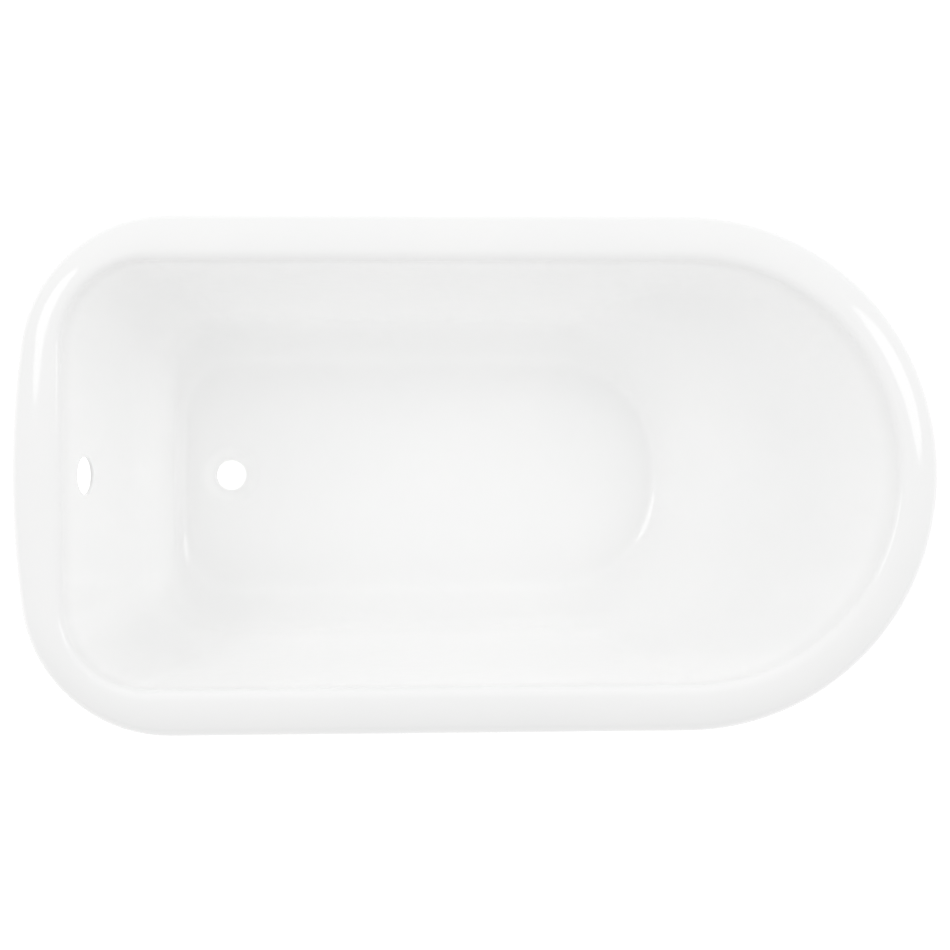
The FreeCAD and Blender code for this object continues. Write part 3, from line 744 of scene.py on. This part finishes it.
# Along a talon: degrees from the top of the ball, radius and lift off the ball in mm.
KNUCKLES = ((4, 9.5, 3), (16, 10.8, 5), (27, 9.2, 4.6), (38, 10.4, 5.4), (50, 8.4, 4.4),
            (60, 9.4, 5.0), (68, 7.8, 4.2), (76, 8.2, 4.4), (80, 6.4, 4.0))
NAIL = ((72, 5.4, 4.5), (80, 5.6, 5.2), (88, 4.7, 5.0), (96, 3.4, 4.2), (103, 2.1, 3.0),
        (109, 0.7, 1.6))
TALON_SIDES = 20
CASTING_VOXEL = 0.0011
STUD_HOLE_RADIUS = 0.006
LEVELLER_BORE_RADIUS = 0.0053
LEVELLER_RECESS_RADIUS = 0.017
RECESS_TOP = 0.0147


def bell(value, width):
    return np.exp(-(value / width) ** 2)


def horn(path, radii):
    """A closed tube of round sections along a list of points, pointed where its radius is 0."""
    points, faces = [], []
    path = [Vector(place) for place in path]
    for index, (place, radius) in enumerate(zip(path, radii)):
        before, after = path[max(index - 1, 0)], path[min(index + 1, len(path) - 1)]
        turn = (after - before).to_track_quat("Z", "Y")
        for step in range(TALON_SIDES):
            angle = math.tau * step / TALON_SIDES
            points.append(place + turn @ Vector((radius * math.cos(angle), radius * math.sin(angle), 0)))
    for start in range(0, len(points) - TALON_SIDES, TALON_SIDES):
        for step in range(TALON_SIDES):
            first, second = start + step, start + (step + 1) % TALON_SIDES
            faces.append((first, second, second + TALON_SIDES, first + TALON_SIDES))
    faces.append(tuple(range(TALON_SIDES - 1, -1, -1)))
    faces.append(tuple(range(len(points) - TALON_SIDES, len(points))))
    return points, faces


def talon_horns(ball_reach):
    """The flesh and the nail of each talon, laid over the ball from the ankle to the floor."""
    centre = Vector((ball_reach, 0, BALL_HEIGHT))
    made = []
    for turn in TALON_TURNS:
        ahead = Vector((math.cos(turn), math.sin(turn), 0))
        for sections in (KNUCKLES, NAIL):
            path, radii = [], []
            for tilt, radius, lift in sections:
                tilt = math.radians(tilt)
                outward = ahead * math.sin(tilt) + Vector((0, 0, math.cos(tilt)))
                path.append(centre + outward * (BALL_RADIUS + lift / 1000))
                radii.append(radius / 1000)
            made.append(horn(path, radii))
    return made


def leaf_half_width(height):
    share = (height - ANKLE_HEIGHT) / (CREST_HEIGHT - ANKLE_HEIGHT)
    half = ANKLE_HALF_WIDTH + (LEAF_HALF_WIDTH - ANKLE_HALF_WIDTH) * smooth_step(share / 0.85)
    shoulder = CREST_HEIGHT - 0.7 * LEAF_HALF_WIDTH
    closing = np.clip((height - shoulder) / (CREST_HEIGHT - shoulder), 0, 1)
    return half * np.sqrt(np.clip(1 - closing ** 1.7, 0, 1))


def leaf_relief(y, z):
    """Lobes, rolled edge and midrib of the leaf: rise, hollowness used as painted shade, and how far its
    edge draws in.
    """
    on_leaf = smooth_step((z - LEAF_ROOT_HEIGHT - 0.006) / 0.012)
    root_turn = np.arctan2(y, z - LEAF_ROOT_HEIGHT)
    root_reach = np.hypot(y, z - LEAF_ROOT_HEIGHT)
    edge = np.minimum(leaf_half_width(z) - np.abs(y), 0.8 * (CREST_HEIGHT - z) + 0.4 * np.abs(y))
    edge = np.clip(edge, 0, 1)
    swirl = root_turn * (1 + 1.6 * root_reach) / LOBE_ANGLE
    across = 2 * (swirl - np.round(swirl))
    grow = smooth_step((root_reach - 0.010) / 0.034)
    lobe = np.sqrt(np.clip(1 - 0.97 * across ** 2, 0, 1))
    vein = bell(across, 0.13)
    rise = (LOBE_RISE * (lobe - 0.62) - VEIN_DEPTH * vein) * grow
    rise += 0.0003 * np.cos(across * 9) * grow
    rise += EDGE_RISE * bell(edge - 0.0058, 0.0042) * lobe * grow
    rise += MIDRIB_RISE * bell(y, 0.0034) * smooth_step((CREST_HEIGHT - 0.012 - z) / 0.05)
    hollow = (1 - lobe) * grow + 0.45 * vein * grow
    notch = NOTCH_DEPTH * across ** 4 * smooth_step((0.013 - edge) / 0.013) * on_leaf * grow
    return rise * on_leaf, np.clip(hollow, 0, 1) * on_leaf, notch


def collar_relief(x, y, z):
    """A beaded ring round the ankle, under the leaf's root, with painted shade in its gaps and between
    its beads.
    """
    off = z - COLLAR_HEIGHT
    band = np.sqrt(np.clip(1 - (off / 0.0052) ** 2, 0, 1))
    beads = np.abs(np.cos(np.arctan2(y, x - ANKLE_REACH) * BEAD_PAIRS))
    gap = np.abs(off) - 0.0062
    rise = band * (0.0018 + 0.0010 * beads) - 0.0012 * bell(gap, 0.0012)
    return rise, bell(gap, 0.0014) + 0.4 * band * (1 - beads)


def claw_relief(points, ball_reach):
    """Tendons and plates down the ankle and over the talons, with painted shade between them and on the
    ball beside the talons.
    """
    z = points[:, 2]
    from_ball = points - (ball_reach, 0, BALL_HEIGHT)
    distance = np.linalg.norm(from_ball, axis=1)
    tilt = np.degrees(np.arccos(np.clip(from_ball[:, 2] / distance, -1, 1)))
    around = np.arctan2(from_ball[:, 1], from_ball[:, 0])
    talon = np.zeros(len(points))
    for turn in TALON_TURNS:
        off = np.abs((around - turn + math.pi) % math.tau - math.pi)
        talon = np.maximum(talon, bell(off * np.sin(np.radians(tilt)) * distance, TENDON_WIDTH))
    ball_top = BALL_HEIGHT + BALL_RADIUS
    ankle = smooth_step((COLLAR_HEIGHT - 0.006 - z) / 0.006) * (z > ball_top - 0.002)
    tendon = talon * ankle
    scute = np.abs(np.cos(math.pi * z / SCUTE_PITCH)) ** 0.45
    rise = tendon * (0.0016 + 0.0011 * (scute - 0.7)) - 0.0008 * ankle * (1 - talon)
    shade = ankle * (0.75 * (1 - talon) + tendon * (1 - scute))
    plated = (distance > BALL_RADIUS + 0.0025) * (z < ball_top) * (tilt < 74)
    plate = np.abs(np.cos(math.pi * tilt / PLATE_TURN)) ** 0.45
    outer = smooth_step((distance - BALL_RADIUS - 0.0055) / 0.004)
    rise += plated * outer * 0.0011 * (plate - 0.7)
    shade += plated * outer * (1 - plate)
    # Painted shade on the ball where the talons meet it.
    beside_talon = smooth_step((0.0045 - np.abs(distance - BALL_RADIUS)) / 0.003)
    shade += beside_talon * smooth_step((talon - 0.3) / 0.3) * 0.7
    return rise, shade


def carve(points, normals, ball_reach):
    """Move a plain casting's vertices into leaf, collar, scales and claw. Returns painted shade for the
    hollows and beside the talons.
    """
    x, y, z = points.T
    rise, shade, notch = leaf_relief(y, z)
    for more_rise, more_shade in (collar_relief(x, y, z), claw_relief(points, ball_reach)):
        rise = rise + more_rise
        shade = shade + more_shade
    low = z < LEAF_ROOT_HEIGHT + 0.002
    low_reach = smooth_step((normals[:, 0] + 0.55) / 0.3) * (normals[:, 2] < 0.9)
    reach = np.where(low, low_reach, smooth_step((normals[:, 0] - 0.02) / 0.3))
    moved = points + normals * (rise * reach)[:, None]
    toward = np.column_stack([np.zeros(len(points)), -y, LEAF_ROOT_HEIGHT - z])
    toward /= np.maximum(np.linalg.norm(toward, axis=1), 1e-6)[:, None]
    moved += toward * notch[:, None]
    moved[:, 0] += np.clip(y ** 2 - moved[:, 1] ** 2, 0, None) / 0.3
    return moved, np.clip(shade * reach, 0, 1)


def true_faces(points, original, ball_reach):
    """Bring the machined holes, the ball and the seat back to their exact sizes."""
    centre = (ball_reach, 0, BALL_HEIGHT)
    ball = points - centre
    distance = np.linalg.norm(ball, axis=1)
    on_ball = (np.abs(distance - BALL_RADIUS) < 0.0009) & (points[:, 2] > 0.001)
    points[on_ball] = centre + ball[on_ball] * (BALL_RADIUS / distance[on_ball])[:, None]
    for place, radius, bottom, top in (
            (ball_reach, LEVELLER_BORE_RADIUS, RECESS_TOP - 0.0002, 0.0595),
            (ball_reach, LEVELLER_RECESS_RADIUS, -0.001, RECESS_TOP + 0.0001),
            (0, STUD_HOLE_RADIUS, SEAT_HEIGHT - 0.014, SEAT_HEIGHT + 0.002)):
        off = original[:, :2] - (place, 0)
        reach = np.linalg.norm(off, axis=1)
        near = (np.abs(reach - radius) < 0.0009) & (original[:, 2] > bottom) & (original[:, 2] < top)
        points[near, :2] = (place, 0) + off[near] * (radius / reach[near])[:, None]
    level = np.abs(original[:, 2] - SEAT_HEIGHT) < 0.0006
    seat = level & (np.hypot(original[:, 0], original[:, 1]) < 0.026)
    points[seat, 2] = SEAT_HEIGHT
    points[:, 2] = np.where(points[:, 2] < 0.0006, 0, points[:, 2])


def nickel_material():
    """Satin nickel over cast iron: bright worn ridges, with painted shade and tarnished colour in the
    grooves.
    """
    material, nodes, links = new_material("satin_nickel")
    place = nodes.new("ShaderNodeTexCoord").outputs["Object"]
    # Painted shade of the casting's hollows, from the groove attribute, plus random noise patches,
    # darkens and roughens the nickel as tarnish and shade together.
    groove = nodes.new("ShaderNodeAttribute")
    groove.attribute_name = "groove"
    tarnish_and_shade = nodes.new("ShaderNodeMath")
    tarnish_and_shade.operation = "MULTIPLY_ADD"
    links.new(remap(nodes, links, noise(nodes, links, place, 70, 5), 0.0, 0.5), tarnish_and_shade.inputs[0])
    tarnish_and_shade.inputs[1].default_value = 0.35
    links.new(groove.outputs["Fac"], tarnish_and_shade.inputs[2])
    tarnish_and_shade.use_clamp = True
    tarnish_and_shade_colour = nodes.new("ShaderNodeMixRGB")
    tarnish_and_shade_colour.inputs["Color1"].default_value = (0.60, 0.565, 0.51, 1)
    tarnish_and_shade_colour.inputs["Color2"].default_value = (0.10, 0.088, 0.072, 1)
    links.new(tarnish_and_shade.outputs[0], tarnish_and_shade_colour.inputs["Fac"])
    shader = nodes.new("ShaderNodeBsdfPrincipled")
    shader.inputs["Metallic"].default_value = 1.0
    links.new(tarnish_and_shade_colour.outputs[0], shader.inputs["Base Color"])
    rough = nodes.new("ShaderNodeMapRange")
    rough.inputs["To Min"].default_value = 0.30
    rough.inputs["To Max"].default_value = 0.62
    links.new(tarnish_and_shade.outputs[0], rough.inputs["Value"])
    links.new(rough.outputs[0], shader.inputs["Roughness"])
    coarse = bump(nodes, links, noise(nodes, links, place, 160, 4), 0.0006, 0.3)
    grain = bump(nodes, links, noise(nodes, links, place, 900, 3), 0.00012, 0.45, coarse)
    links.new(grain, shader.inputs["Normal"])
    finish_surface(nodes, links, shader)
    return material


def normals_of(mesh):
    normals = np.empty(len(mesh.vertices) * 3)
    mesh.vertex_normals.foreach_get("vector", normals)
    return normals.reshape(-1, 3)


def coordinates_of(mesh):
    points = np.empty(len(mesh.vertices) * 3)
    mesh.vertices.foreach_get("co", points)
    return points.reshape(-1, 3)


def soften(mesh, rounds):
    work = bmesh.new()
    work.from_mesh(mesh)
    for _ in range(rounds):
        bmesh.ops.smooth_vert(work, verts=work.verts, factor=0.5, use_axis_x=True, use_axis_y=True,
                              use_axis_z=True)
    work.to_mesh(mesh)
    work.free()


def foot(name, material):
    stud_low, stud_high = (np.array(corner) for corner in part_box(f"foot_stud_{name}"))
    glide_low, glide_high = (np.array(corner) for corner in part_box(f"leveller_glide_{name}"))
    axis = ((stud_low + stud_high) / 2)[:2]
    step = ((glide_low + glide_high) / 2)[:2] - axis
    ball_reach = float(np.linalg.norm(step))
    ahead = step / ball_reach
    turn = np.array([[ahead[0], ahead[1], 0], [-ahead[1], ahead[0], 0], [0, 0, 1]])
    origin = np.array([*axis, 0])

    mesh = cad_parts[f"foot_{name}"].data.copy()
    local = (coordinates_of(mesh) - origin) @ turn.T
    mesh.vertices.foreach_set("co", local.ravel())
    work = bmesh.new()
    work.from_mesh(mesh)
    bmesh.ops.remove_doubles(work, verts=work.verts, dist=1e-6)
    for points, faces in talon_horns(ball_reach):
        corners = [work.verts.new(point) for point in points]
        for face in faces:
            work.faces.new([corners[index] for index in face])
    work.to_mesh(mesh)
    work.free()
    casting = bpy.data.objects.new(f"casting_{name}", mesh)
    scene.collection.objects.link(casting)
    remesh = casting.modifiers.new("skin", "REMESH")
    remesh.mode = "VOXEL"
    remesh.voxel_size = CASTING_VOXEL
    skin = bpy.data.meshes.new_from_object(casting.evaluated_get(bpy.context.evaluated_depsgraph_get()))
    bpy.data.objects.remove(casting)

    soften(skin, 2)
    plain = coordinates_of(skin)
    carved, shade = carve(plain, normals_of(skin), ball_reach)
    true_faces(carved, plain, ball_reach)
    skin.vertices.foreach_set("co", (carved @ turn + origin).ravel())
    # The groove attribute holds painted shade of the hollows and beside the talons, which the nickel
    # darkens as tarnish and shade together.
    groove = skin.attributes.new("groove", "FLOAT", "POINT")
    groove.data.foreach_set("value", shade.astype(np.float32))
    skin.materials.clear()
    skin.materials.append(material)
    skin.polygons.foreach_set("material_index", [0] * len(skin.polygons))
    skin.polygons.foreach_set("use_smooth", [True] * len(skin.polygons))
    made = bpy.data.objects.new(f"claw_foot_{name}", skin)
    scene.collection.objects.link(made)
    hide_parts(f"foot_{name}")
    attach(made, "root")


FOOT_NAMES = ("drain_left", "drain_right", "head_left", "head_right")
satin_nickel = nickel_material()
for foot_name in FOOT_NAMES:
    foot(foot_name, satin_nickel)

# ======================================================================== studs and nuts
# Zinc-plated steel. An M10 stud is screwed into each lug and passes the foot's seat plate,
# where a washer, a split spring washer and a chamfered hexagon nut hold the foot.
THREAD_DIAMETER = 0.010
THREAD_PITCH = 0.0015
THREAD_DEPTH = 0.0009
THREAD_CHAMFER = 0.001
NUT_FLATS = 0.017
NUT_HEIGHT = 0.008
NUT_BORE = 0.0106
SLIT_HALF_WIDTH = 0.001
SLIT_REACH = 0.0072
ROUND_STEPS = 72


def zinc_material():
    """Bright zinc plating: a cool grey with a faint bluish bloom and fine scratches."""
    material, nodes, links = new_material("zinc_plating")
    place = nodes.new("ShaderNodeTexCoord").outputs["Object"]
    shader = nodes.new("ShaderNodeBsdfPrincipled")
    shader.inputs["Metallic"].default_value = 1.0
    bloom = noise(nodes, links, place, 240, 3)
    links.new(blend_colours(nodes, links, bloom, (0.52, 0.54, 0.57), (0.66, 0.665, 0.67)),
              shader.inputs["Base Color"])
    gloss = remap(nodes, links, noise(nodes, links, place, 700), 0.24, 0.42)
    links.new(gloss, shader.inputs["Roughness"])
    grain = bump(nodes, links, noise(nodes, links, place, 1500, 4), 0.00005, 0.6)
    links.new(grain, shader.inputs["Normal"])
    finish_surface(nodes, links, shader)
    return material


def thread_group():
    """Geometry Nodes: a round rod with a helical thread and a chamfer at both ends."""
    group = bpy.data.node_groups.new("threaded_rod", "GeometryNodeTree")
    face = group.interface
    face.new_socket("Geometry", in_out="INPUT", socket_type="NodeSocketGeometry")
    for name, value in (("Diameter", THREAD_DIAMETER), ("Length", 0.040), ("Pitch", THREAD_PITCH),
                        ("Depth", THREAD_DEPTH), ("Chamfer", THREAD_CHAMFER)):
        face.new_socket(name, in_out="INPUT", socket_type="NodeSocketFloat").default_value = value
    face.new_socket("Material", in_out="INPUT", socket_type="NodeSocketMaterial")
    face.new_socket("Geometry", in_out="OUTPUT", socket_type="NodeSocketGeometry")
    nodes, links = group.nodes, group.links
    given = nodes.new("NodeGroupInput").outputs

    def step(operation, *values):
        node = nodes.new("ShaderNodeMath")
        node.operation = operation
        for socket, value in zip(node.inputs, values):
            if isinstance(value, (int, float)):
                socket.default_value = value
            else:
                links.new(value, socket)
        return node.outputs[0]

    radius = step("MULTIPLY", given["Diameter"], 0.5)
    rod = nodes.new("GeometryNodeMeshCylinder")
    rod.inputs["Vertices"].default_value = 36
    links.new(step("ROUND", step("MULTIPLY", step("DIVIDE", given["Length"], given["Pitch"]), 8)),
              rod.inputs["Side Segments"])
    links.new(radius, rod.inputs["Radius"])
    links.new(given["Length"], rod.inputs["Depth"])
    spot = nodes.new("ShaderNodeSeparateXYZ")
    links.new(nodes.new("GeometryNodeInputPosition").outputs[0], spot.inputs[0])
    angle = step("DIVIDE", step("ARCTAN2", spot.outputs["Y"], spot.outputs["X"]), math.tau)
    phase = step("FRACT", step("SUBTRACT", step("DIVIDE", spot.outputs["Z"], given["Pitch"]), angle))
    groove = step("SUBTRACT", 1, step("ABSOLUTE", step("SUBTRACT", step("MULTIPLY", phase, 2), 1)))
    groove = step("MINIMUM", step("MULTIPLY", groove, 1.25), 1)
    threaded = step("SUBTRACT", radius, step("MULTIPLY", groove, given["Depth"]))
    end = step("SUBTRACT", step("ABSOLUTE", spot.outputs["Z"]), step("MULTIPLY", given["Length"], 0.5))
    past = step("MAXIMUM", step("ADD", end, given["Chamfer"]), 0)
    scale = step("DIVIDE", step("MINIMUM", threaded, step("SUBTRACT", radius, past)), radius)
    joined = nodes.new("ShaderNodeCombineXYZ")
    links.new(step("MULTIPLY", spot.outputs["X"], scale), joined.inputs["X"])
    links.new(step("MULTIPLY", spot.outputs["Y"], scale), joined.inputs["Y"])
    links.new(spot.outputs["Z"], joined.inputs["Z"])
    shaped = nodes.new("GeometryNodeSetPosition")
    links.new(rod.outputs["Mesh"], shaped.inputs["Geometry"])
    links.new(joined.outputs[0], shaped.inputs["Position"])
    real = nodes.new("GeometryNodeRealizeInstances")
    links.new(shaped.outputs[0], real.inputs[0])
    coated = nodes.new("GeometryNodeSetMaterial")
    links.new(real.outputs[0], coated.inputs["Geometry"])
    links.new(given["Material"], coated.inputs["Material"])
    links.new(coated.outputs[0], nodes.new("NodeGroupOutput").inputs[0])
    return group


def threaded_rod(length, material):
    """Points and faces of a threaded rod that stands on the origin."""
    holder = bpy.data.objects.new("rod", bpy.data.meshes.new("rod"))
    scene.collection.objects.link(holder)
    modifier = holder.modifiers.new("thread", "NODES")
    modifier.node_group = rod_nodes
    values = {"Diameter": THREAD_DIAMETER, "Length": length, "Pitch": THREAD_PITCH,
              "Depth": THREAD_DEPTH, "Chamfer": THREAD_CHAMFER, "Material": material}
    for socket in rod_nodes.interface.items_tree:
        if socket.in_out == "INPUT" and socket.name in values:
            modifier[socket.identifier] = values[socket.name]
    holder.update_tag()
    mesh = bpy.data.meshes.new_from_object(holder.evaluated_get(bpy.context.evaluated_depsgraph_get()))
    bpy.data.objects.remove(holder)
    points = coordinates_of(mesh) + (0, 0, length / 2)
    faces = [tuple(polygon.vertices) for polygon in mesh.polygons]
    bpy.data.meshes.remove(mesh)
    return points.tolist(), faces


def swept(profile_at, start=0.0, end=math.tau, steps=ROUND_STEPS, ring=True):
    """Turn a profile of (radius, height) pairs about Z. It closes on itself where ring is true."""
    whole = end - start > math.tau - 1e-6
    angles = np.linspace(start, end, steps, endpoint=not whole)
    points, faces = [], []
    for angle in angles:
        profile = profile_at(angle)
        ahead = (math.cos(angle), math.sin(angle))
        points += [(radius * ahead[0], radius * ahead[1], height) for radius, height in profile]
    count = len(profile)
    for index in range(len(angles) if whole else len(angles) - 1):
        first, second = index * count, (index + 1) % len(angles) * count
        for corner in range(count if ring else count - 1):
            following = (corner + 1) % count
            faces.append((first + corner, second + corner, second + following, first + following))
    if not whole:
        faces += [tuple(range(count)), tuple(range(len(points) - 1, len(points) - count - 1, -1))]
    if not ring:
        faces += [tuple(range(0, len(points), count)), tuple(range(count - 1, len(points), count))]
    return points, faces


def hexagon_profile(flats, height, bore):
    """Profile of a chamfered hexagon with a bevelled bore, as it varies round the nut."""
    inner, round_edge = bore / 2, flats / 2 * 0.97

    def profile_at(angle):
        off = (angle % (math.pi / 3)) - math.pi / 6
        outer = flats / 2 / math.cos(off)
        chamfer = (outer - round_edge) * 0.5
        return [(round_edge, 0), (outer, chamfer), (outer, height - chamfer), (round_edge, height),
                (inner + 0.0006, height), (inner, height - 0.0006), (inner, 0.0006), (inner + 0.0006, 0)]
    return profile_at


def washer_profile(diameter, bore, thickness, bevel):
    outer, inner = diameter / 2, bore / 2
    return [(inner + bevel, 0), (outer - bevel, 0), (outer, bevel), (outer, thickness - bevel),
            (outer - bevel, thickness), (inner + bevel, thickness), (inner, thickness - bevel),
            (inner, bevel)]


def fitted(name, node, body, material, pieces, turn):
    """One object from pieces that stand on the origin, set where the plain node stands."""
    low, high = (np.array(corner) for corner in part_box(node))
    points, faces = [], []
    for some, joins in pieces:
        start = len(points)
        points += some
        faces += [tuple(start + corner for corner in face) for face in joins]
    points = np.array(points)
    spin = np.array([[math.cos(turn), math.sin(turn), 0],
                     [-math.sin(turn), math.cos(turn), 0],
                     [0, 0, 1]])
    points = points @ spin + (*((low + high) / 2)[:2], low[2])
    mesh = bpy.data.meshes.new(name)
    mesh.from_pydata(points.tolist(), [], faces)
    mesh.materials.append(material)
    work = bmesh.new()
    work.from_mesh(mesh)
    bmesh.ops.recalc_face_normals(work, faces=work.faces)
    work.to_mesh(mesh)
    work.free()
    mesh.polygons.foreach_set("use_smooth", [True] * len(mesh.polygons))
    mesh.set_sharp_from_angle(angle=math.radians(26))
    made = bpy.data.objects.new(name, mesh)
    scene.collection.objects.link(made)
    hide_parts(node)
    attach(made, body)


def foot_turn(name):
    """Outward direction of a foot, from its lug to its ball."""
    stud_box, glide_box = (np.array(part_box(f"{kind}_{name}"))
                           for kind in ("foot_stud", "leveller_glide"))
    step = (glide_box.mean(axis=0) - stud_box.mean(axis=0))[:2]
    return math.atan2(step[1], step[0])


def height_of(node):
    low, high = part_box(node)
    return high[2] - low[2]


rod_nodes = thread_group()
zinc = zinc_material()
flat_washer = washer_profile(diameter=0.024, bore=0.011, thickness=0.0025, bevel=0.0004)
split_washer = washer_profile(diameter=0.018, bore=0.011, thickness=0.0025, bevel=0.0003)
slit = math.asin(SLIT_HALF_WIDTH / SLIT_REACH)
for foot_name in FOOT_NAMES:
    turn_of_foot = foot_turn(foot_name)
    rod = threaded_rod(height_of(f"foot_stud_{foot_name}"), zinc)
    fitted(f"stud_{foot_name}", f"foot_stud_{foot_name}", "root", zinc,
           [rod], turn_of_foot)
    fitted(f"washer_{foot_name}", f"foot_washer_{foot_name}", "root", zinc,
           [swept(lambda angle: flat_washer)], turn_of_foot)
    fitted(f"spring_washer_{foot_name}", f"foot_spring_washer_{foot_name}", "root", zinc,
           [swept(lambda angle: split_washer, slit, math.tau - slit)], turn_of_foot)
    fitted(f"nut_{foot_name}", f"foot_nut_{foot_name}", "root", zinc,
           [swept(hexagon_profile(NUT_FLATS, NUT_HEIGHT, NUT_BORE))], turn_of_foot)

# ======================================================================== levellers
# In each ball a zinc-plated M10 screw with a hexagonal collar, locked by a thin nut, and
# a black nylon glide that snaps onto the screw's spigot and stands on the floor.


def nylon_material():
    """Black moulded nylon with a fine matt grain."""
    material, nodes, links = new_material("black_nylon")
    place = nodes.new("ShaderNodeTexCoord").outputs["Object"]
    shader = nodes.new("ShaderNodeBsdfPrincipled")
    links.new(blend_colours(nodes, links, noise(nodes, links, place, 160), (0.070, 0.070, 0.074),
                            (0.100, 0.100, 0.105)), shader.inputs["Base Color"])
    gloss = remap(nodes, links, noise(nodes, links, place, 500), 0.42, 0.58)
    links.new(gloss, shader.inputs["Roughness"])
    grain = bump(nodes, links, noise(nodes, links, place, 1800, 2), 0.00006, 0.6)
    links.new(grain, shader.inputs["Normal"])
    finish_surface(nodes, links, shader)
    return material


SPIGOT_LENGTH = 0.003
COLLAR_FLATS = 0.015
COLLAR_THICKNESS = 0.003
LOCKNUT_HEIGHT = 0.005
# Radius and height. The glide stops a hair below the collar that turns on it.
GLIDE_SECTION = [(0.0001, 0), (0.0122, 0), (0.0128, 0.0003), (0.0138, 0.0012), (0.0140, 0.0017),
                 (0.0140, 0.0049), (0.0138, 0.0052), (0.0134, 0.00544), (0.0041, 0.00544),
                 (0.0038, 0.0051), (0.0038, 0.0022), (0.0001, 0.0022)]
SPIGOT_SECTION = [(0.0001, 0), (0.0032, 0), (0.0035, 0.0003), (0.0035, SPIGOT_LENGTH),
                  (0.0001, SPIGOT_LENGTH)]
nylon = nylon_material()
for foot_name in FOOT_NAMES:
    turn_of_foot = foot_turn(foot_name)
    screw_node = f"leveller_screw_{foot_name}"
    shoulder = SPIGOT_LENGTH + COLLAR_THICKNESS
    points, faces = threaded_rod(height_of(screw_node) - shoulder, zinc)
    shank = ([(x, y, z + shoulder) for x, y, z in points], faces)
    points, faces = swept(hexagon_profile(COLLAR_FLATS, COLLAR_THICKNESS, 0.006))
    collar = ([(x, y, z + SPIGOT_LENGTH) for x, y, z in points], faces)
    fitted(f"screw_{foot_name}", screw_node, screw_node, zinc,
           [swept(lambda angle: SPIGOT_SECTION, ring=False), collar, shank], turn_of_foot)
    fitted(f"locknut_{foot_name}", f"leveller_locknut_{foot_name}", "root", zinc,
           [swept(hexagon_profile(NUT_FLATS, LOCKNUT_HEIGHT, NUT_BORE))], turn_of_foot)
    fitted(f"glide_{foot_name}", f"leveller_glide_{foot_name}", f"leveller_glide_{foot_name}",
           nylon, [swept(lambda angle: GLIDE_SECTION, ring=False)], turn_of_foot)
